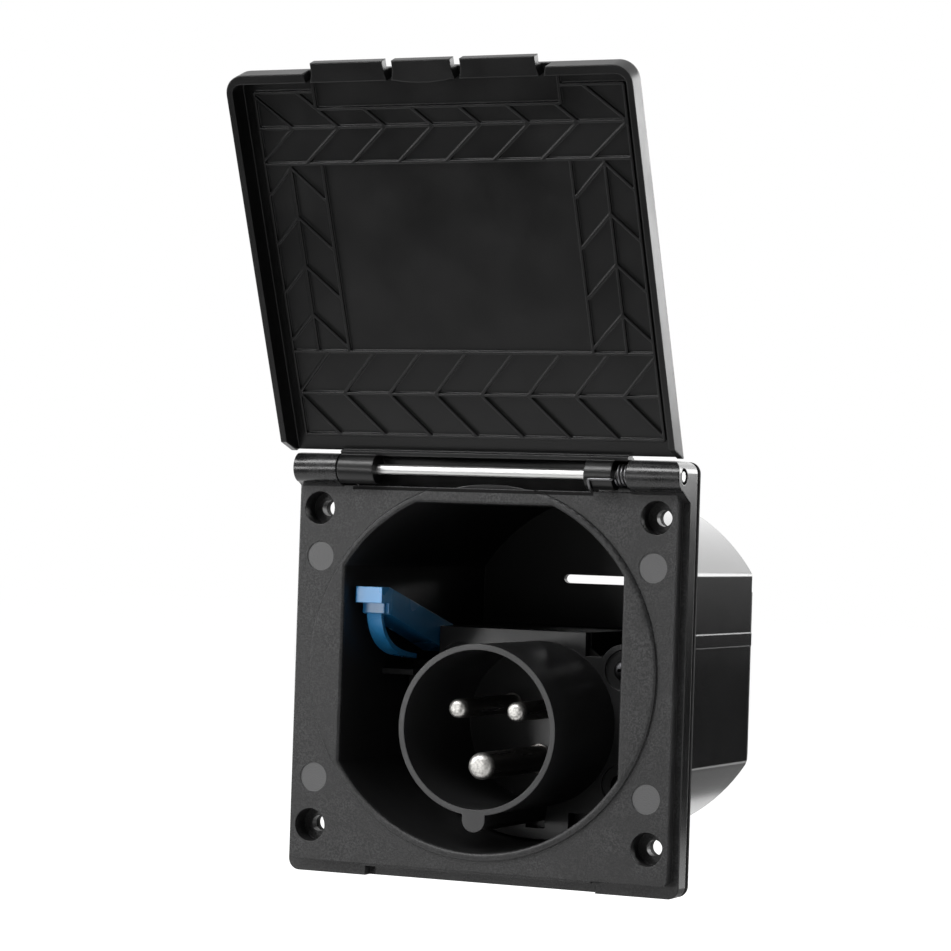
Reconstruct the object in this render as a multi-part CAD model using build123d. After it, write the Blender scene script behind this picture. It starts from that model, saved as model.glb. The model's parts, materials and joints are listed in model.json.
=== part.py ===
from build123d import *
import math
import os

# A flush-mount CEE mains inlet with a sprung lid, in millimetres.
# x runs across the wall, y into the wall and z up. The origin is the centre of the four wall screws
# on the wall plane, so the front stands at negative y and the box at positive y.

# Wall flange and its gasket
FLANGE_WIDTH = 110.0
FLANGE_HEIGHT = 110.0
FLANGE_THICKNESS = 4.5
FLANGE_CORNER_RADIUS = 3.0
GASKET_THICKNESS = 2.5
GASKET_LIP = 1.2
GASKET_INSET = 0.8
GASKET_BOX_GAP = 0.5

# Wall screw holes
SCREW_SIDE_INSET = 7.6
SCREW_TOP_INSET = 14.4
SCREW_BOTTOM_INSET = 12.4
SCREW_HOLE_RADIUS = 2.1
COUNTERBORE_RADIUS = 4.3
COUNTERBORE_FLOOR = 2.5

# Raised front and the ring round the recess
PLATFORM_SIDE_LEDGE = 2.0
PLATFORM_BOTTOM_LEDGE = 3.4
PLATFORM_RISE = 3.5
PLATFORM_CORNER_RADIUS = 1.5
RING_WIDTH = 2.0
RING_FOOT_MARGIN = 2.9
RING_RISE = 1.0
RING_EDGE_RADIUS = 0.7
RECESS_EDGE_RADIUS = 0.8
EJECTOR_MARK_RADIUS = 3.8
EJECTOR_MARK_DEPTH = 0.2
EJECTOR_MARK_X = 46.8
EJECTOR_MARK_Z = 29.0

# Recess and the box behind the wall
RECESS_CENTRE_Z = 1.1
RECESS_HALF_WIDTH = 39.2
RECESS_TOP_MARGIN = 3.95
RECESS_CORNER_RADIUS = 1.0
BOX_WALL = 1.8
BOX_DEPTH = 80.5
REAR_WALL = 2.0
SIDE_BEAD_DROP = 1.5
SIDE_BEAD_HEIGHT = 3.6
SIDE_BEAD_RISE = 0.3
SLIT_RISE = 13.3
SLIT_WIDTH = 29.0
SLIT_HEIGHT = 2.4

# Partition and stepped shelf between the recess and the wiring chamber
PARTITION_Y = 33.0
PARTITION_THICKNESS = 3.0
SHELF_THICKNESS = 2.0
SHELF_RISE = 24.8
SHELF_STEP_DROP = 6.3
SHELF_STEP_X = 13.0
LEVER_BAY_WIDTH = 9.4
LEVER_BAY_DROP = 9.7
TAIL_LEDGE_DROP = 1.7
TAIL_LEDGE_THICKNESS = 1.5
TAIL_LEDGE_LENGTH = 19.5

# Hinge
KNUCKLE_RADIUS = 3.9
HINGE_FORWARD = 1.3
HINGE_PIN_RADIUS = 1.3
HINGE_PIN_END_GAP = 0.2
HINGE_EAR_WIDTH = 14.3
LEFT_EAR_INSET = 2.0
EAR_FOOT_DROP = 2.2
EAR_COUNTERBORE_RADIUS = 2.1
EAR_COUNTERBORE_DEPTH = 1.5
PIN_SEAT_GAP = 0.02
PIN_RUNNING_GAP = 0.06
KNUCKLE_SIDE_GAP = 0.4
KNUCKLE_DROP_GAP = 0.45
LEFT_KNUCKLE_WIDTH = 10.3
RIGHT_KNUCKLE_WIDTH = 7.5
SPRING_BAY_WIDTH = 4.0
HINGE_WEB_INNER_RADIUS = 3.75
HINGE_WEB_OUTER_RADIUS = 4.9
HINGE_SWEEP_GAP = 0.4

# Torsion spring
WIRE_RADIUS = 0.4
WIRE_BEND_RADIUS = 0.6
COIL_RADIUS = 2.5
COIL_WHOLE_TURNS = 3
COIL_PITCH = 0.95
SPRING_LEG_GAP = 0.25
SPRING_LEG_LENGTH = 6.5
SPRING_LEG_DEG = 16.0
SPRING_HOOK_DEG = 28.0

# Lid
LID_LEAN_DEG = 22.43
LID_SIDE_GAP = 0.4
LID_LEDGE_GAP = 0.35
LID_RING_GAP = 1.2
LID_OVERHANG = 0.7
LID_PANEL = 1.6
LID_FREE_SKIRT = 2.35
LID_HINGE_EDGE_U = 4.55
LID_CORNER_RADIUS = 5.0
LID_EDGE_RADIUS = 3.0
SKIRT_END_U = 8.7
SKIRT_END_N = -0.5

# Herringbone ribs on the lid's inside
RIB_HEIGHT = 0.8
RIB_WIDTH = 0.7
RIB_PITCH = 13.0
RIB_BORDER_INSET = 4.7
TOP_BAND_INSET = 6.0
TOP_BAND_HALF = 9.35
TOP_BAND_SLANT = 10.7
BOTTOM_BAND_INSET = 4.5
BOTTOM_BAND_HALF = 11.4
BOTTOM_BAND_SLANT = 10.4
SIDE_BAND_CENTRE_INSET = 12.0
SIDE_BAND_HALF = 9.0
SIDE_RIB_DROP = 1.0
POCKET_HALF_WIDTH = 33.4
POCKET_DEPTH = 8.2

# Finger tabs, snap tongue and its catch
TAB_WIDTH = 19.8
TONGUE_WIDTH = 15.8
TAB_GAP = 2.6
TAB_REACH = 2.65
TAB_THICKNESS = 2.4
TAB_SLOT_N = 0.6
TONGUE_BULGE = 0.75
CATCH_LIP = 0.6
CATCH_LIP_FRONT = 0.4
CATCH_LIP_THICKNESS = 1.3
LATCH_NOTCH_HALF_WIDTH = 32.5
LATCH_NOTCH_DEPTH = 3.0

# Pin carrier
SHROUD_RADIUS = 22.0
SHROUD_WALL = 1.5
SHROUD_FOOT = 31.6
SHROUD_FLOOR = 2.0
KEY_WIDTH = 6.4
KEY_REACH = 4.3
CARRIER_PLATE = 3.0
CARRIER_EDGE_GAP = 0.6
CARRIER_LEVER_CLEARANCE = 4.0
CARRIER_CORE_RADIUS = 19.5
CARRIER_CORE_GAP = 0.5
CARRIER_CORE_REAR_Y = 51.5
CARRIER_SEAL_THICKNESS = 1.0
CARRIER_SEAL_WIDTH = 4.2
SEAL_SIDE_GAP = 0.3
CARRIER_SCREW_INSET = 5.6
CARRIER_SCREW_RISE = 15.2
CARRIER_EAR_RADIUS = 7.0
CARRIER_EAR_RIM = 1.5
CARRIER_EAR_SINK = 0.8
DRAIN_SLOT_HEIGHT = 4.5
DRAIN_SLOT_WIDTH = 5.4
DRAIN_SLOT_PITCH = 12.3
DRAIN_SLOT_RISE = 5.9

# Contact pins and terminals
PIN_CIRCLE_RADIUS = 9.53
LINE_PIN_RADIUS = 2.5
EARTH_PIN_RADIUS = 3.5
LINE_PIN_TIP_Y = -6.2
EARTH_PIN_TIP_Y = -9.3
PIN_TIP_RADIUS_SHARE = 0.62
PIN_COLLAR_STEP = 0.4
PIN_FIT_GAP = 0.05
TERMINAL_RADIUS = 4.2
TERMINAL_LENGTH = 13.0
TERMINAL_POCKET_GAP = 0.6
TERMINAL_WIRE_RADIUS = 2.1
TERMINAL_WIRE_DEPTH = 10.0
TERMINAL_SCREW_RADIUS = 1.9
TERMINAL_SCREW_HEAD_RADIUS = 3.0
TERMINAL_SCREW_HEAD = 2.2
TERMINAL_SCREW_STANDOFF = 0.8
TERMINAL_SLOT_WIDTH = 7.4
TERMINAL_SLOT_START = 3.2

# Small screws
SMALL_SCREW_RADIUS = 1.5
SMALL_SCREW_HEAD_RADIUS = 2.9
SMALL_SCREW_HEAD = 2.0
SMALL_SCREW_GAP = 0.05
SMALL_SCREW_HOLE_GAP = 0.3
SMALL_SCREW_BITE = 9.0
SMALL_SCREW_END_GAP = 1.0
SMALL_SCREW_CHAMFER = 0.6
BOSS_RADIUS = 3.8
BOSS_LENGTH = 12.0
BOSS_EMBED = 0.8

# Release lever
LEVER_SIDE_GAP = 1.4
LEVER_NOSE_Y = -7.0
LEVER_NOSE_RISE = 20.3
LEVER_NOSE_HEIGHT = 4.2
LEVER_NOSE_LENGTH = 4.4
LEVER_STEP_BACK = 3.2
LEVER_STEP_INSET = 0.8
LEVER_ARM_HEIGHT = 6.9
LEVER_PIVOT_Y = 36.0
LEVER_PIVOT_RISE = 6.5
LEVER_HUB_RADIUS = 4.0
LEVER_HUB_SIDE_GAP = 0.4
LEVER_PIN_RADIUS = 1.5
TAIL_WIDTH = 4.2
TAIL_THICKNESS = 1.3
TAIL_TIP_Y = 19.0
TAIL_TIP_RISE = 1.7

# Rear cover and cable gland
REAR_SEAL_THICKNESS = 1.0
REAR_COVER_THICKNESS = 2.5
REAR_COVER_INSET = 1.0
REAR_COVER_SLIT_GAP = 0.5
REAR_BOSS_SIDE_DROP = 9.0
REAR_BOSS_LOW_ANGLE = 60.0
GLAND_DROP = 3.9
GLAND_THREAD_RADIUS = 10.0
GLAND_HOLE_GAP = 0.2
GLAND_BODY_ACROSS_FLATS = 24.0
GLAND_BODY_COLLAR = 5.0
GLAND_INNER_THREAD = 9.0
GLAND_OUTER_THREAD = 9.0
GLAND_LOCKNUT_THICKNESS = 5.0
GLAND_LOCKNUT_ACROSS_FLATS = 26.0
GLAND_NUT_LENGTH = 15.0
GLAND_NUT_WALL = 2.0
GLAND_NUT_LIP = 2.5
GLAND_SEAL_RADIUS = 7.6
GLAND_CABLE_RADIUS = 5.0
GLAND_CABLE_GAP = 1.0
GLAND_FIT_GAP = 0.1

# Levels and places that follow from the sizes above
SCREW_SPACING_X = FLANGE_WIDTH - 2 * SCREW_SIDE_INSET
SCREW_SPACING_Z = FLANGE_HEIGHT - SCREW_TOP_INSET - SCREW_BOTTOM_INSET
FLANGE_BOTTOM_Z = -SCREW_SPACING_Z / 2 - SCREW_BOTTOM_INSET
FLANGE_TOP_Z = FLANGE_BOTTOM_Z + FLANGE_HEIGHT
FLANGE_BACK_Y = -GASKET_THICKNESS
LEDGE_Y = FLANGE_BACK_Y - FLANGE_THICKNESS
PLATFORM_Y = LEDGE_Y - PLATFORM_RISE
RING_Y = PLATFORM_Y - RING_RISE
HINGE_Y = PLATFORM_Y - HINGE_FORWARD
HINGE_Z = FLANGE_TOP_Z - KNUCKLE_RADIUS
PLATFORM_TOP_Z = HINGE_Z - KNUCKLE_RADIUS - KNUCKLE_DROP_GAP
PLATFORM_BOTTOM_Z = FLANGE_BOTTOM_Z + PLATFORM_BOTTOM_LEDGE
PLATFORM_HALF_WIDTH = FLANGE_WIDTH / 2 - PLATFORM_SIDE_LEDGE
EAR_INNER_X = FLANGE_WIDTH / 2 - HINGE_EAR_WIDTH
HINGE_LEFT_X = LEFT_EAR_INSET - FLANGE_WIDTH / 2
HINGE_RIGHT_X = FLANGE_WIDTH / 2
RING_RADIUS = RECESS_CENTRE_Z - PLATFORM_BOTTOM_Z - RING_FOOT_MARGIN
RECESS_RADIUS = RING_RADIUS - RING_WIDTH
RECESS_TOP_Z = PLATFORM_TOP_Z - RECESS_TOP_MARGIN
RECESS_BOTTOM_Z = RECESS_CENTRE_Z - RECESS_RADIUS
SHROUD_Z = RECESS_BOTTOM_Z + SHROUD_FOOT
SHELF_Z = SHROUD_Z + SHELF_RISE
SHELF_STEP_Z = SHELF_Z - SHELF_STEP_DROP
SIDE_BEAD_Z = SHELF_Z - SIDE_BEAD_DROP
SLIT_Z = SHELF_Z + SLIT_RISE
LEVER_BAY_X = LEVER_BAY_WIDTH - RECESS_HALF_WIDTH
LEVER_BAY_Z = SHELF_Z - LEVER_BAY_DROP
LEVER_NOSE_TOP_Z = LEVER_BAY_Z + LEVER_NOSE_RISE
LEVER_PIVOT_Z = LEVER_BAY_Z + LEVER_PIVOT_RISE
TAIL_LEDGE_Z = LEVER_BAY_Z - TAIL_LEDGE_DROP
TAIL_TIP_Z = LEVER_BAY_Z + TAIL_TIP_RISE
GLAND_Z = SHROUD_Z - GLAND_DROP
PARTITION_BACK_Y = PARTITION_Y + PARTITION_THICKNESS
SHROUD_INNER_RADIUS = SHROUD_RADIUS - SHROUD_WALL
CARRIER_BACK_Y = PARTITION_Y - CARRIER_SEAL_THICKNESS
CARRIER_FRONT_Y = CARRIER_BACK_Y - CARRIER_PLATE
CARRIER_SEAT_Y = CARRIER_FRONT_Y + CARRIER_EAR_SINK
SHROUD_FLOOR_Y = CARRIER_BACK_Y - SHROUD_FLOOR
CARRIER_SCREW_X = -LEVER_BAY_X - CARRIER_SCREW_INSET
DRAIN_SLOT_Z = RECESS_BOTTOM_Z + DRAIN_SLOT_RISE
CARRIER_SCREWS = [
    (side * CARRIER_SCREW_X, SHROUD_Z + rise * CARRIER_SCREW_RISE) for side in (-1, 1) for rise in (-1, 1)
]
REAR_BOSS_REACH = RECESS_RADIUS - BOSS_RADIUS + BOSS_EMBED
REAR_BOSS_LOW = (
    REAR_BOSS_REACH * math.cos(math.radians(REAR_BOSS_LOW_ANGLE)),
    RECESS_CENTRE_Z - REAR_BOSS_REACH * math.sin(math.radians(REAR_BOSS_LOW_ANGLE)),
)
REAR_BOSS_SIDE = (RECESS_HALF_WIDTH - BOSS_RADIUS + BOSS_EMBED, LEVER_BAY_Z - REAR_BOSS_SIDE_DROP)
REAR_SCREWS = [(side * x, z) for side in (-1, 1) for x, z in (REAR_BOSS_SIDE, REAR_BOSS_LOW)]
COVER_FRONT_Y = BOX_DEPTH + REAR_SEAL_THICKNESS
COVER_BACK_Y = COVER_FRONT_Y + REAR_COVER_THICKNESS
TERMINAL_FRONT_Y = CARRIER_CORE_REAR_Y - TERMINAL_LENGTH

# Lid levels, in the lid's own frame: u from the hinge axis to the free end, n towards the inside
LID_SKIRT_N = LEDGE_Y - HINGE_Y - LID_LEDGE_GAP
LID_RIB_N = RING_Y - HINGE_Y - LID_RING_GAP
LID_FLOOR_N = LID_RIB_N - RIB_HEIGHT
LID_OUTER_N = LID_FLOOR_N - LID_PANEL
LID_FREE_U = HINGE_Z - FLANGE_BOTTOM_Z + LID_OVERHANG
LID_INNER_U = LID_FREE_U - LID_FREE_SKIRT
LID_INNER_HALF_WIDTH = PLATFORM_HALF_WIDTH + LID_SIDE_GAP
KNUCKLE_OUTER_X = EAR_INNER_X - KNUCKLE_SIDE_GAP
RIGHT_KNUCKLE_END_X = EAR_INNER_X - SPRING_BAY_WIDTH
LID_LEAN = math.radians(LID_LEAN_DEG)
LID_FRAME = Plane(
    origin=(0, HINGE_Y, HINGE_Z), x_dir=(1, 0, 0), z_dir=(0, -math.cos(LID_LEAN), -math.sin(LID_LEAN))
)


def slab(outline, y_from, y_to):
    """Extrude an x-z outline from one depth to another."""
    return extrude(Plane.XZ.offset(-y_to) * outline, y_to - y_from)


def bar(outline, x_from, x_to):
    """Extrude a y-z outline along x."""
    return extrude(Plane.YZ.offset(x_from) * outline, x_to - x_from)


def disc(x, z, radius):
    """A round x-z outline."""
    return Pos(x, z) * Circle(radius)


def window(x_from, x_to, z_from, z_to):
    """A rectangular outline between limits."""
    return Pos((x_from + x_to) / 2, (z_from + z_to) / 2) * Rectangle(x_to - x_from, z_to - z_from)


def area(points):
    """A flat face inside straight edges."""
    return make_face(Polyline(*points, close=True))


def recess_section(grow):
    """The recess's outline, round with flat sides and a flat top, grown by a wall thickness."""
    half = RECESS_HALF_WIDTH + grow
    low = RECESS_BOTTOM_Z - grow
    flats = window(-half, half, low, RECESS_TOP_Z + grow)
    outline = disc(0, RECESS_CENTRE_Z, RECESS_RADIUS + grow) & flats
    return fillet(outline.vertices(), RECESS_CORNER_RADIUS + grow)


def shelf_area(drop, above):
    """The region over or under the stepped shelf, with the shelf line lowered by a wall thickness."""
    side = RECESS_HALF_WIDTH + 2 * BOX_WALL
    limit = FLANGE_TOP_Z if above else FLANGE_BOTTOM_Z
    return area([
        (-side, LEVER_BAY_Z - drop), (LEVER_BAY_X + drop, LEVER_BAY_Z - drop),
        (LEVER_BAY_X + drop, SHELF_Z - drop), (SHELF_STEP_X - drop, SHELF_Z - drop),
        (SHELF_STEP_X - drop, SHELF_STEP_Z - drop), (side, SHELF_STEP_Z - drop), (side, limit), (-side, limit),
    ])


def wall_screw_places():
    """The four wall screw centres."""
    return [(a * SCREW_SPACING_X / 2, b * SCREW_SPACING_Z / 2) for a in (-1, 1) for b in (-1, 1)]


def flange_outline(inset):
    """The flange's rounded square, drawn in by an inset."""
    mid_z = (FLANGE_TOP_Z + FLANGE_BOTTOM_Z) / 2
    width = FLANGE_WIDTH - 2 * inset
    return Pos(0, mid_z) * RectangleRounded(width, FLANGE_HEIGHT - 2 * inset, FLANGE_CORNER_RADIUS)


def hinge_ear():
    """Side view of a hinge ear: barrel, flat top and a gusset down to the ledge."""
    reach = KNUCKLE_RADIUS * math.sqrt(0.5)
    foot = PLATFORM_TOP_Z - EAR_FOOT_DROP
    web = area([
        (HINGE_Y, FLANGE_TOP_Z), (FLANGE_BACK_Y, FLANGE_TOP_Z), (FLANGE_BACK_Y, foot), (LEDGE_Y, foot),
        (HINGE_Y - reach, HINGE_Z - reach),
    ])
    return web + Pos(HINGE_Y, HINGE_Z) * Circle(KNUCKLE_RADIUS)


def hinge_ears():
    """Both ears, rounded off at the flange's corners. The left one stops short of the flange's side."""
    room = slab(flange_outline(0), HINGE_Y - 2 * KNUCKLE_RADIUS, FLANGE_BACK_Y)
    spans = ((HINGE_LEFT_X, -EAR_INNER_X), (EAR_INNER_X, HINGE_RIGHT_X))
    return [bar(hinge_ear(), start, end) & room for start, end in spans]


def front_plate():
    """Flange, raised platform and ring, with the latch notch along the lower edge."""
    flange = slab(flange_outline(0), LEDGE_Y, FLANGE_BACK_Y)
    sweep_radius = HINGE_WEB_OUTER_RADIUS + HINGE_SWEEP_GAP
    flange -= bar(Pos(HINGE_Y, HINGE_Z) * Circle(sweep_radius), -EAR_INNER_X, EAR_INNER_X)
    notch_top = PLATFORM_BOTTOM_Z - CATCH_LIP
    flange -= slab(
        window(-LATCH_NOTCH_HALF_WIDTH, LATCH_NOTCH_HALF_WIDTH, FLANGE_BOTTOM_Z, notch_top),
        LEDGE_Y, LEDGE_Y + LATCH_NOTCH_DEPTH,
    )
    platform_height = PLATFORM_TOP_Z - PLATFORM_BOTTOM_Z
    platform = slab(
        Pos(0, PLATFORM_BOTTOM_Z + platform_height / 2)
        * RectangleRounded(2 * PLATFORM_HALF_WIDTH, platform_height, PLATFORM_CORNER_RADIUS),
        PLATFORM_Y, LEDGE_Y,
    )
    lip_front = PLATFORM_Y + CATCH_LIP_FRONT
    platform += slab(
        window(-LATCH_NOTCH_HALF_WIDTH, LATCH_NOTCH_HALF_WIDTH, notch_top, PLATFORM_BOTTOM_Z + CATCH_LIP),
        lip_front, lip_front + CATCH_LIP_THICKNESS,
    )
    ring = slab(
        disc(0, RECESS_CENTRE_Z, RING_RADIUS)
        & window(-PLATFORM_HALF_WIDTH, PLATFORM_HALF_WIDTH, PLATFORM_BOTTOM_Z, PLATFORM_TOP_Z),
        RING_Y, PLATFORM_Y,
    )
    return flange + platform + ring


def housing():
    """The one-piece moulding: front plate, hinge ears, box, partition, shelf and screw bosses."""
    body = front_plate() + slab(recess_section(BOX_WALL), LEDGE_Y, BOX_DEPTH) + hinge_ears()
    for side in (-1, 1):
        face = side * (RECESS_HALF_WIDTH + BOX_WALL)
        bead = window(face - SIDE_BEAD_RISE, face + SIDE_BEAD_RISE, SIDE_BEAD_Z - SIDE_BEAD_HEIGHT / 2,
                      SIDE_BEAD_Z + SIDE_BEAD_HEIGHT / 2)
        body += slab(bead, FLANGE_BACK_Y, BOX_DEPTH)
    body -= slab(recess_section(0), RING_Y, PARTITION_Y)
    body = fillet(recess_rim_edges(body), RECESS_EDGE_RADIUS)
    body = fillet(ring_edges(body), RING_EDGE_RADIUS)
    body -= slab(recess_section(0) & shelf_area(0, True), PARTITION_Y, BOX_DEPTH - REAR_WALL)
    body -= slab(recess_section(0) & shelf_area(SHELF_THICKNESS, False), PARTITION_BACK_Y, BOX_DEPTH)
    body += chamber_bosses()
    body += tail_ledge()
    body -= slab(disc(0, SHROUD_Z, CARRIER_CORE_RADIUS + CARRIER_CORE_GAP), PARTITION_Y, PARTITION_BACK_Y)
    body -= slab(Pos(0, SLIT_Z) * SlotOverall(SLIT_WIDTH, SLIT_HEIGHT), BOX_DEPTH - REAR_WALL, BOX_DEPTH)
    return body - housing_holes()


def recess_rim_edges(body):
    """The recess's edges on the ring's face."""
    on_face = [edge for edge in body.edges() if max(abs(v.Y - RING_Y) for v in edge.vertices()) < 0.01]
    limit = RECESS_RADIUS + RING_WIDTH / 2
    return [edge for edge in on_face if math.hypot((edge @ 0.5).X, (edge @ 0.5).Z - RECESS_CENTRE_Z) < limit
            and (edge @ 0.5).Z < RECESS_TOP_Z + RING_WIDTH / 2]


def ring_edges(body):
    """The ring's outer edge, without the straight stretch along the platform's top."""
    on_face = [edge for edge in body.edges() if max(abs(v.Y - RING_Y) for v in edge.vertices()) < 0.01]
    limit = RECESS_RADIUS + RING_WIDTH / 2 + RECESS_EDGE_RADIUS / 2
    return [edge for edge in on_face if edge.geom_type == GeomType.CIRCLE
            and math.hypot((edge @ 0.5).X, (edge @ 0.5).Z - RECESS_CENTRE_Z) > limit]


def chamber_bosses():
    """Screw bosses behind the partition and at the rear opening."""
    bosses = [slab(disc(x, z, BOSS_RADIUS), PARTITION_Y, PARTITION_Y + BOSS_LENGTH) for x, z in CARRIER_SCREWS]
    for x, z in REAR_SCREWS:
        bosses.append(slab(disc(x, z, BOSS_RADIUS) & recess_section(BOX_WALL), BOX_DEPTH - BOSS_LENGTH, BOX_DEPTH))
        bosses.append(slab(disc(x, z, BOSS_RADIUS) & recess_section(-SEAL_SIDE_GAP), BOX_DEPTH, COVER_FRONT_Y))
    return bosses


def tail_ledge():
    """Small shelf on the left wall under the lever's leaf tail."""
    section = window(-RECESS_HALF_WIDTH - BOX_WALL / 2, LEVER_BAY_X - LEVER_HUB_SIDE_GAP,
                     TAIL_LEDGE_Z - TAIL_LEDGE_THICKNESS, TAIL_LEDGE_Z)
    return slab(section, PARTITION_Y - TAIL_LEDGE_LENGTH, PARTITION_Y)


def housing_holes():
    """Wall screws, hinge pin, lever pin, screw pilots and the shallow ejector marks."""
    floor_y = FLANGE_BACK_Y - COUNTERBORE_FLOOR
    tools = []
    for x, z in wall_screw_places():
        tools.append(slab(disc(x, z, SCREW_HOLE_RADIUS), PLATFORM_Y, FLANGE_BACK_Y))
        tools.append(slab(disc(x, z, COUNTERBORE_RADIUS), PLATFORM_Y, floor_y))
    for x in (-EJECTOR_MARK_X, EJECTOR_MARK_X):
        for z in (-EJECTOR_MARK_Z, EJECTOR_MARK_Z):
            tools.append(slab(disc(x, z, EJECTOR_MARK_RADIUS), PLATFORM_Y, PLATFORM_Y + EJECTOR_MARK_DEPTH))
    hinge = Pos(HINGE_Y, HINGE_Z)
    tools.append(bar(hinge * Circle(HINGE_PIN_RADIUS + PIN_SEAT_GAP), HINGE_LEFT_X, HINGE_RIGHT_X))
    for x in (HINGE_LEFT_X, HINGE_RIGHT_X - EAR_COUNTERBORE_DEPTH):
        tools.append(bar(hinge * Circle(EAR_COUNTERBORE_RADIUS), x, x + EAR_COUNTERBORE_DEPTH))
    pivot = Pos(LEVER_PIVOT_Y, LEVER_PIVOT_Z) * Circle(LEVER_PIN_RADIUS + PIN_SEAT_GAP)
    tools.append(bar(pivot, -RECESS_HALF_WIDTH - BOX_WALL, LEVER_BAY_X + SHELF_THICKNESS))
    pilot = SMALL_SCREW_RADIUS + SMALL_SCREW_GAP
    for x, z in CARRIER_SCREWS:
        tools.append(slab(disc(x, z, pilot), PARTITION_Y, PARTITION_Y + SMALL_SCREW_BITE))
    for x, z in REAR_SCREWS:
        tools.append(slab(disc(x, z, pilot), COVER_FRONT_Y - SMALL_SCREW_BITE, COVER_FRONT_Y))
    return tools


def wall_gasket():
    """Flat seal between the flange and the wall, with a lip as wide as the flange on the wall side."""
    seal = slab(flange_outline(GASKET_INSET), FLANGE_BACK_Y, 0) + slab(flange_outline(0), -GASKET_LIP, 0)
    seal -= slab(recess_section(BOX_WALL + SIDE_BEAD_RISE + GASKET_BOX_GAP), FLANGE_BACK_Y, 0)
    return seal - [slab(disc(x, z, SCREW_HOLE_RADIUS), FLANGE_BACK_Y, 0) for x, z in wall_screw_places()]


def strip(start, end):
    """One straight rib in plan."""
    length = math.hypot(end[0] - start[0], end[1] - start[1])
    turn = math.degrees(math.atan2(end[1] - start[1], end[0] - start[0]))
    return Pos((start[0] + end[0]) / 2, (start[1] + end[1]) / 2) * Rot(0, 0, turn) * Rectangle(length, RIB_WIDTH)


def chevrons(start, along, across, slant, count):
    """Diagonal ribs from points on a band's centre line to both of its edges."""
    strips = []
    for k in range(count):
        node = (start[0] + k * along[0], start[1] + k * along[1])
        for side in (-1, 1):
            foot = (node[0] + slant[0] + side * across[0], node[1] + slant[1] + side * across[1])
            strips.append(strip(node, foot))
    return Sketch() + strips


def lid_ribs():
    """Herringbone frame round the lid's plain middle, in plan."""
    border = FLANGE_WIDTH / 2 - RIB_BORDER_INSET
    top_edge = LID_FREE_U - TOP_BAND_INSET
    top_mid = top_edge - TOP_BAND_HALF
    top_low = top_mid - TOP_BAND_HALF
    low_edge = LID_HINGE_EDGE_U + BOTTOM_BAND_INSET
    low_mid = low_edge + BOTTOM_BAND_HALF
    low_top = low_mid + BOTTOM_BAND_HALF
    side_mid = FLANGE_WIDTH / 2 - SIDE_BAND_CENTRE_INSET
    side_inner = side_mid - SIDE_BAND_HALF
    pocket_u = LID_INNER_U - POCKET_DEPTH
    lines = [strip((-border, u), (border, u)) for u in (top_mid, top_low, low_edge, low_mid, low_top)]
    lines.append(strip((-POCKET_HALF_WIDTH, pocket_u), (POCKET_HALF_WIDTH, pocket_u)))
    for side in (-1, 1):
        lines.append(strip((side * POCKET_HALF_WIDTH, top_edge), (side * border, top_edge)))
        lines.append(strip((side * POCKET_HALF_WIDTH, pocket_u), (side * POCKET_HALF_WIDTH, LID_INNER_U)))
        lines.append(strip((side * border, low_edge), (side * border, top_edge)))
        for x in (side_mid, side_inner):
            lines.append(strip((side * x, low_top), (side * x, top_low)))
    count = math.ceil(2 * border / RIB_PITCH) + 1
    top_band = window(-border, border, top_low, top_edge) - window(
        -POCKET_HALF_WIDTH, POCKET_HALF_WIDTH, pocket_u, top_edge)
    top = chevrons((border, top_mid), (-RIB_PITCH, 0), (0, TOP_BAND_HALF), (-TOP_BAND_SLANT, 0), count) & top_band
    low = chevrons((-border, low_mid), (RIB_PITCH, 0), (0, BOTTOM_BAND_HALF), (BOTTOM_BAND_SLANT, 0), count) & window(
        -border, border, low_edge, low_top)
    ribs = Sketch() + lines + [top, low]
    side_count = math.ceil((top_low - low_top) / RIB_PITCH)
    for side in (-1, 1):
        band = window(*sorted((side * side_inner, side * border)), low_top, top_low)
        ribs += chevrons((side * side_mid, top_low - SIDE_RIB_DROP), (0, -RIB_PITCH), (SIDE_BAND_HALF, 0),
                         (0, -SIDE_BAND_HALF), side_count) & band
    return ribs


def lid_tray():
    """Lid panel and skirts, with the outer edges rounded and the skirts' hinge ends sloped."""
    length = LID_FREE_U - LID_HINGE_EDGE_U
    depth = LID_SKIRT_N - LID_OUTER_N
    low = (Align.CENTER, Align.MIN, Align.MIN)
    tray = Pos(0, LID_HINGE_EDGE_U, LID_OUTER_N) * Box(FLANGE_WIDTH, length, depth, align=low)
    tray = fillet(tray.edges().filter_by(Axis.Z).group_by(Axis.Y)[-1], LID_CORNER_RADIUS)
    outer = tray.faces().sort_by(Axis.Z)[0].edges()
    tray = fillet(outer.sort_by(Axis.Y)[1:], LID_EDGE_RADIUS)
    inner_length = LID_INNER_U - LID_HINGE_EDGE_U
    cavity = Pos(0, LID_HINGE_EDGE_U, LID_FLOOR_N) * Box(
        2 * LID_INNER_HALF_WIDTH, inner_length, depth, align=low)
    inner_corner = LID_CORNER_RADIUS - LID_FREE_SKIRT
    cavity = fillet(cavity.edges().filter_by(Axis.Z).group_by(Axis.Y)[-1], inner_corner)
    slope = area([
        (LID_HINGE_EDGE_U, SKIRT_END_N), (SKIRT_END_U, LID_SKIRT_N), (LID_HINGE_EDGE_U, LID_SKIRT_N),
    ])
    return tray - cavity - bar(slope, -FLANGE_WIDTH / 2, FLANGE_WIDTH / 2)


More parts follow.
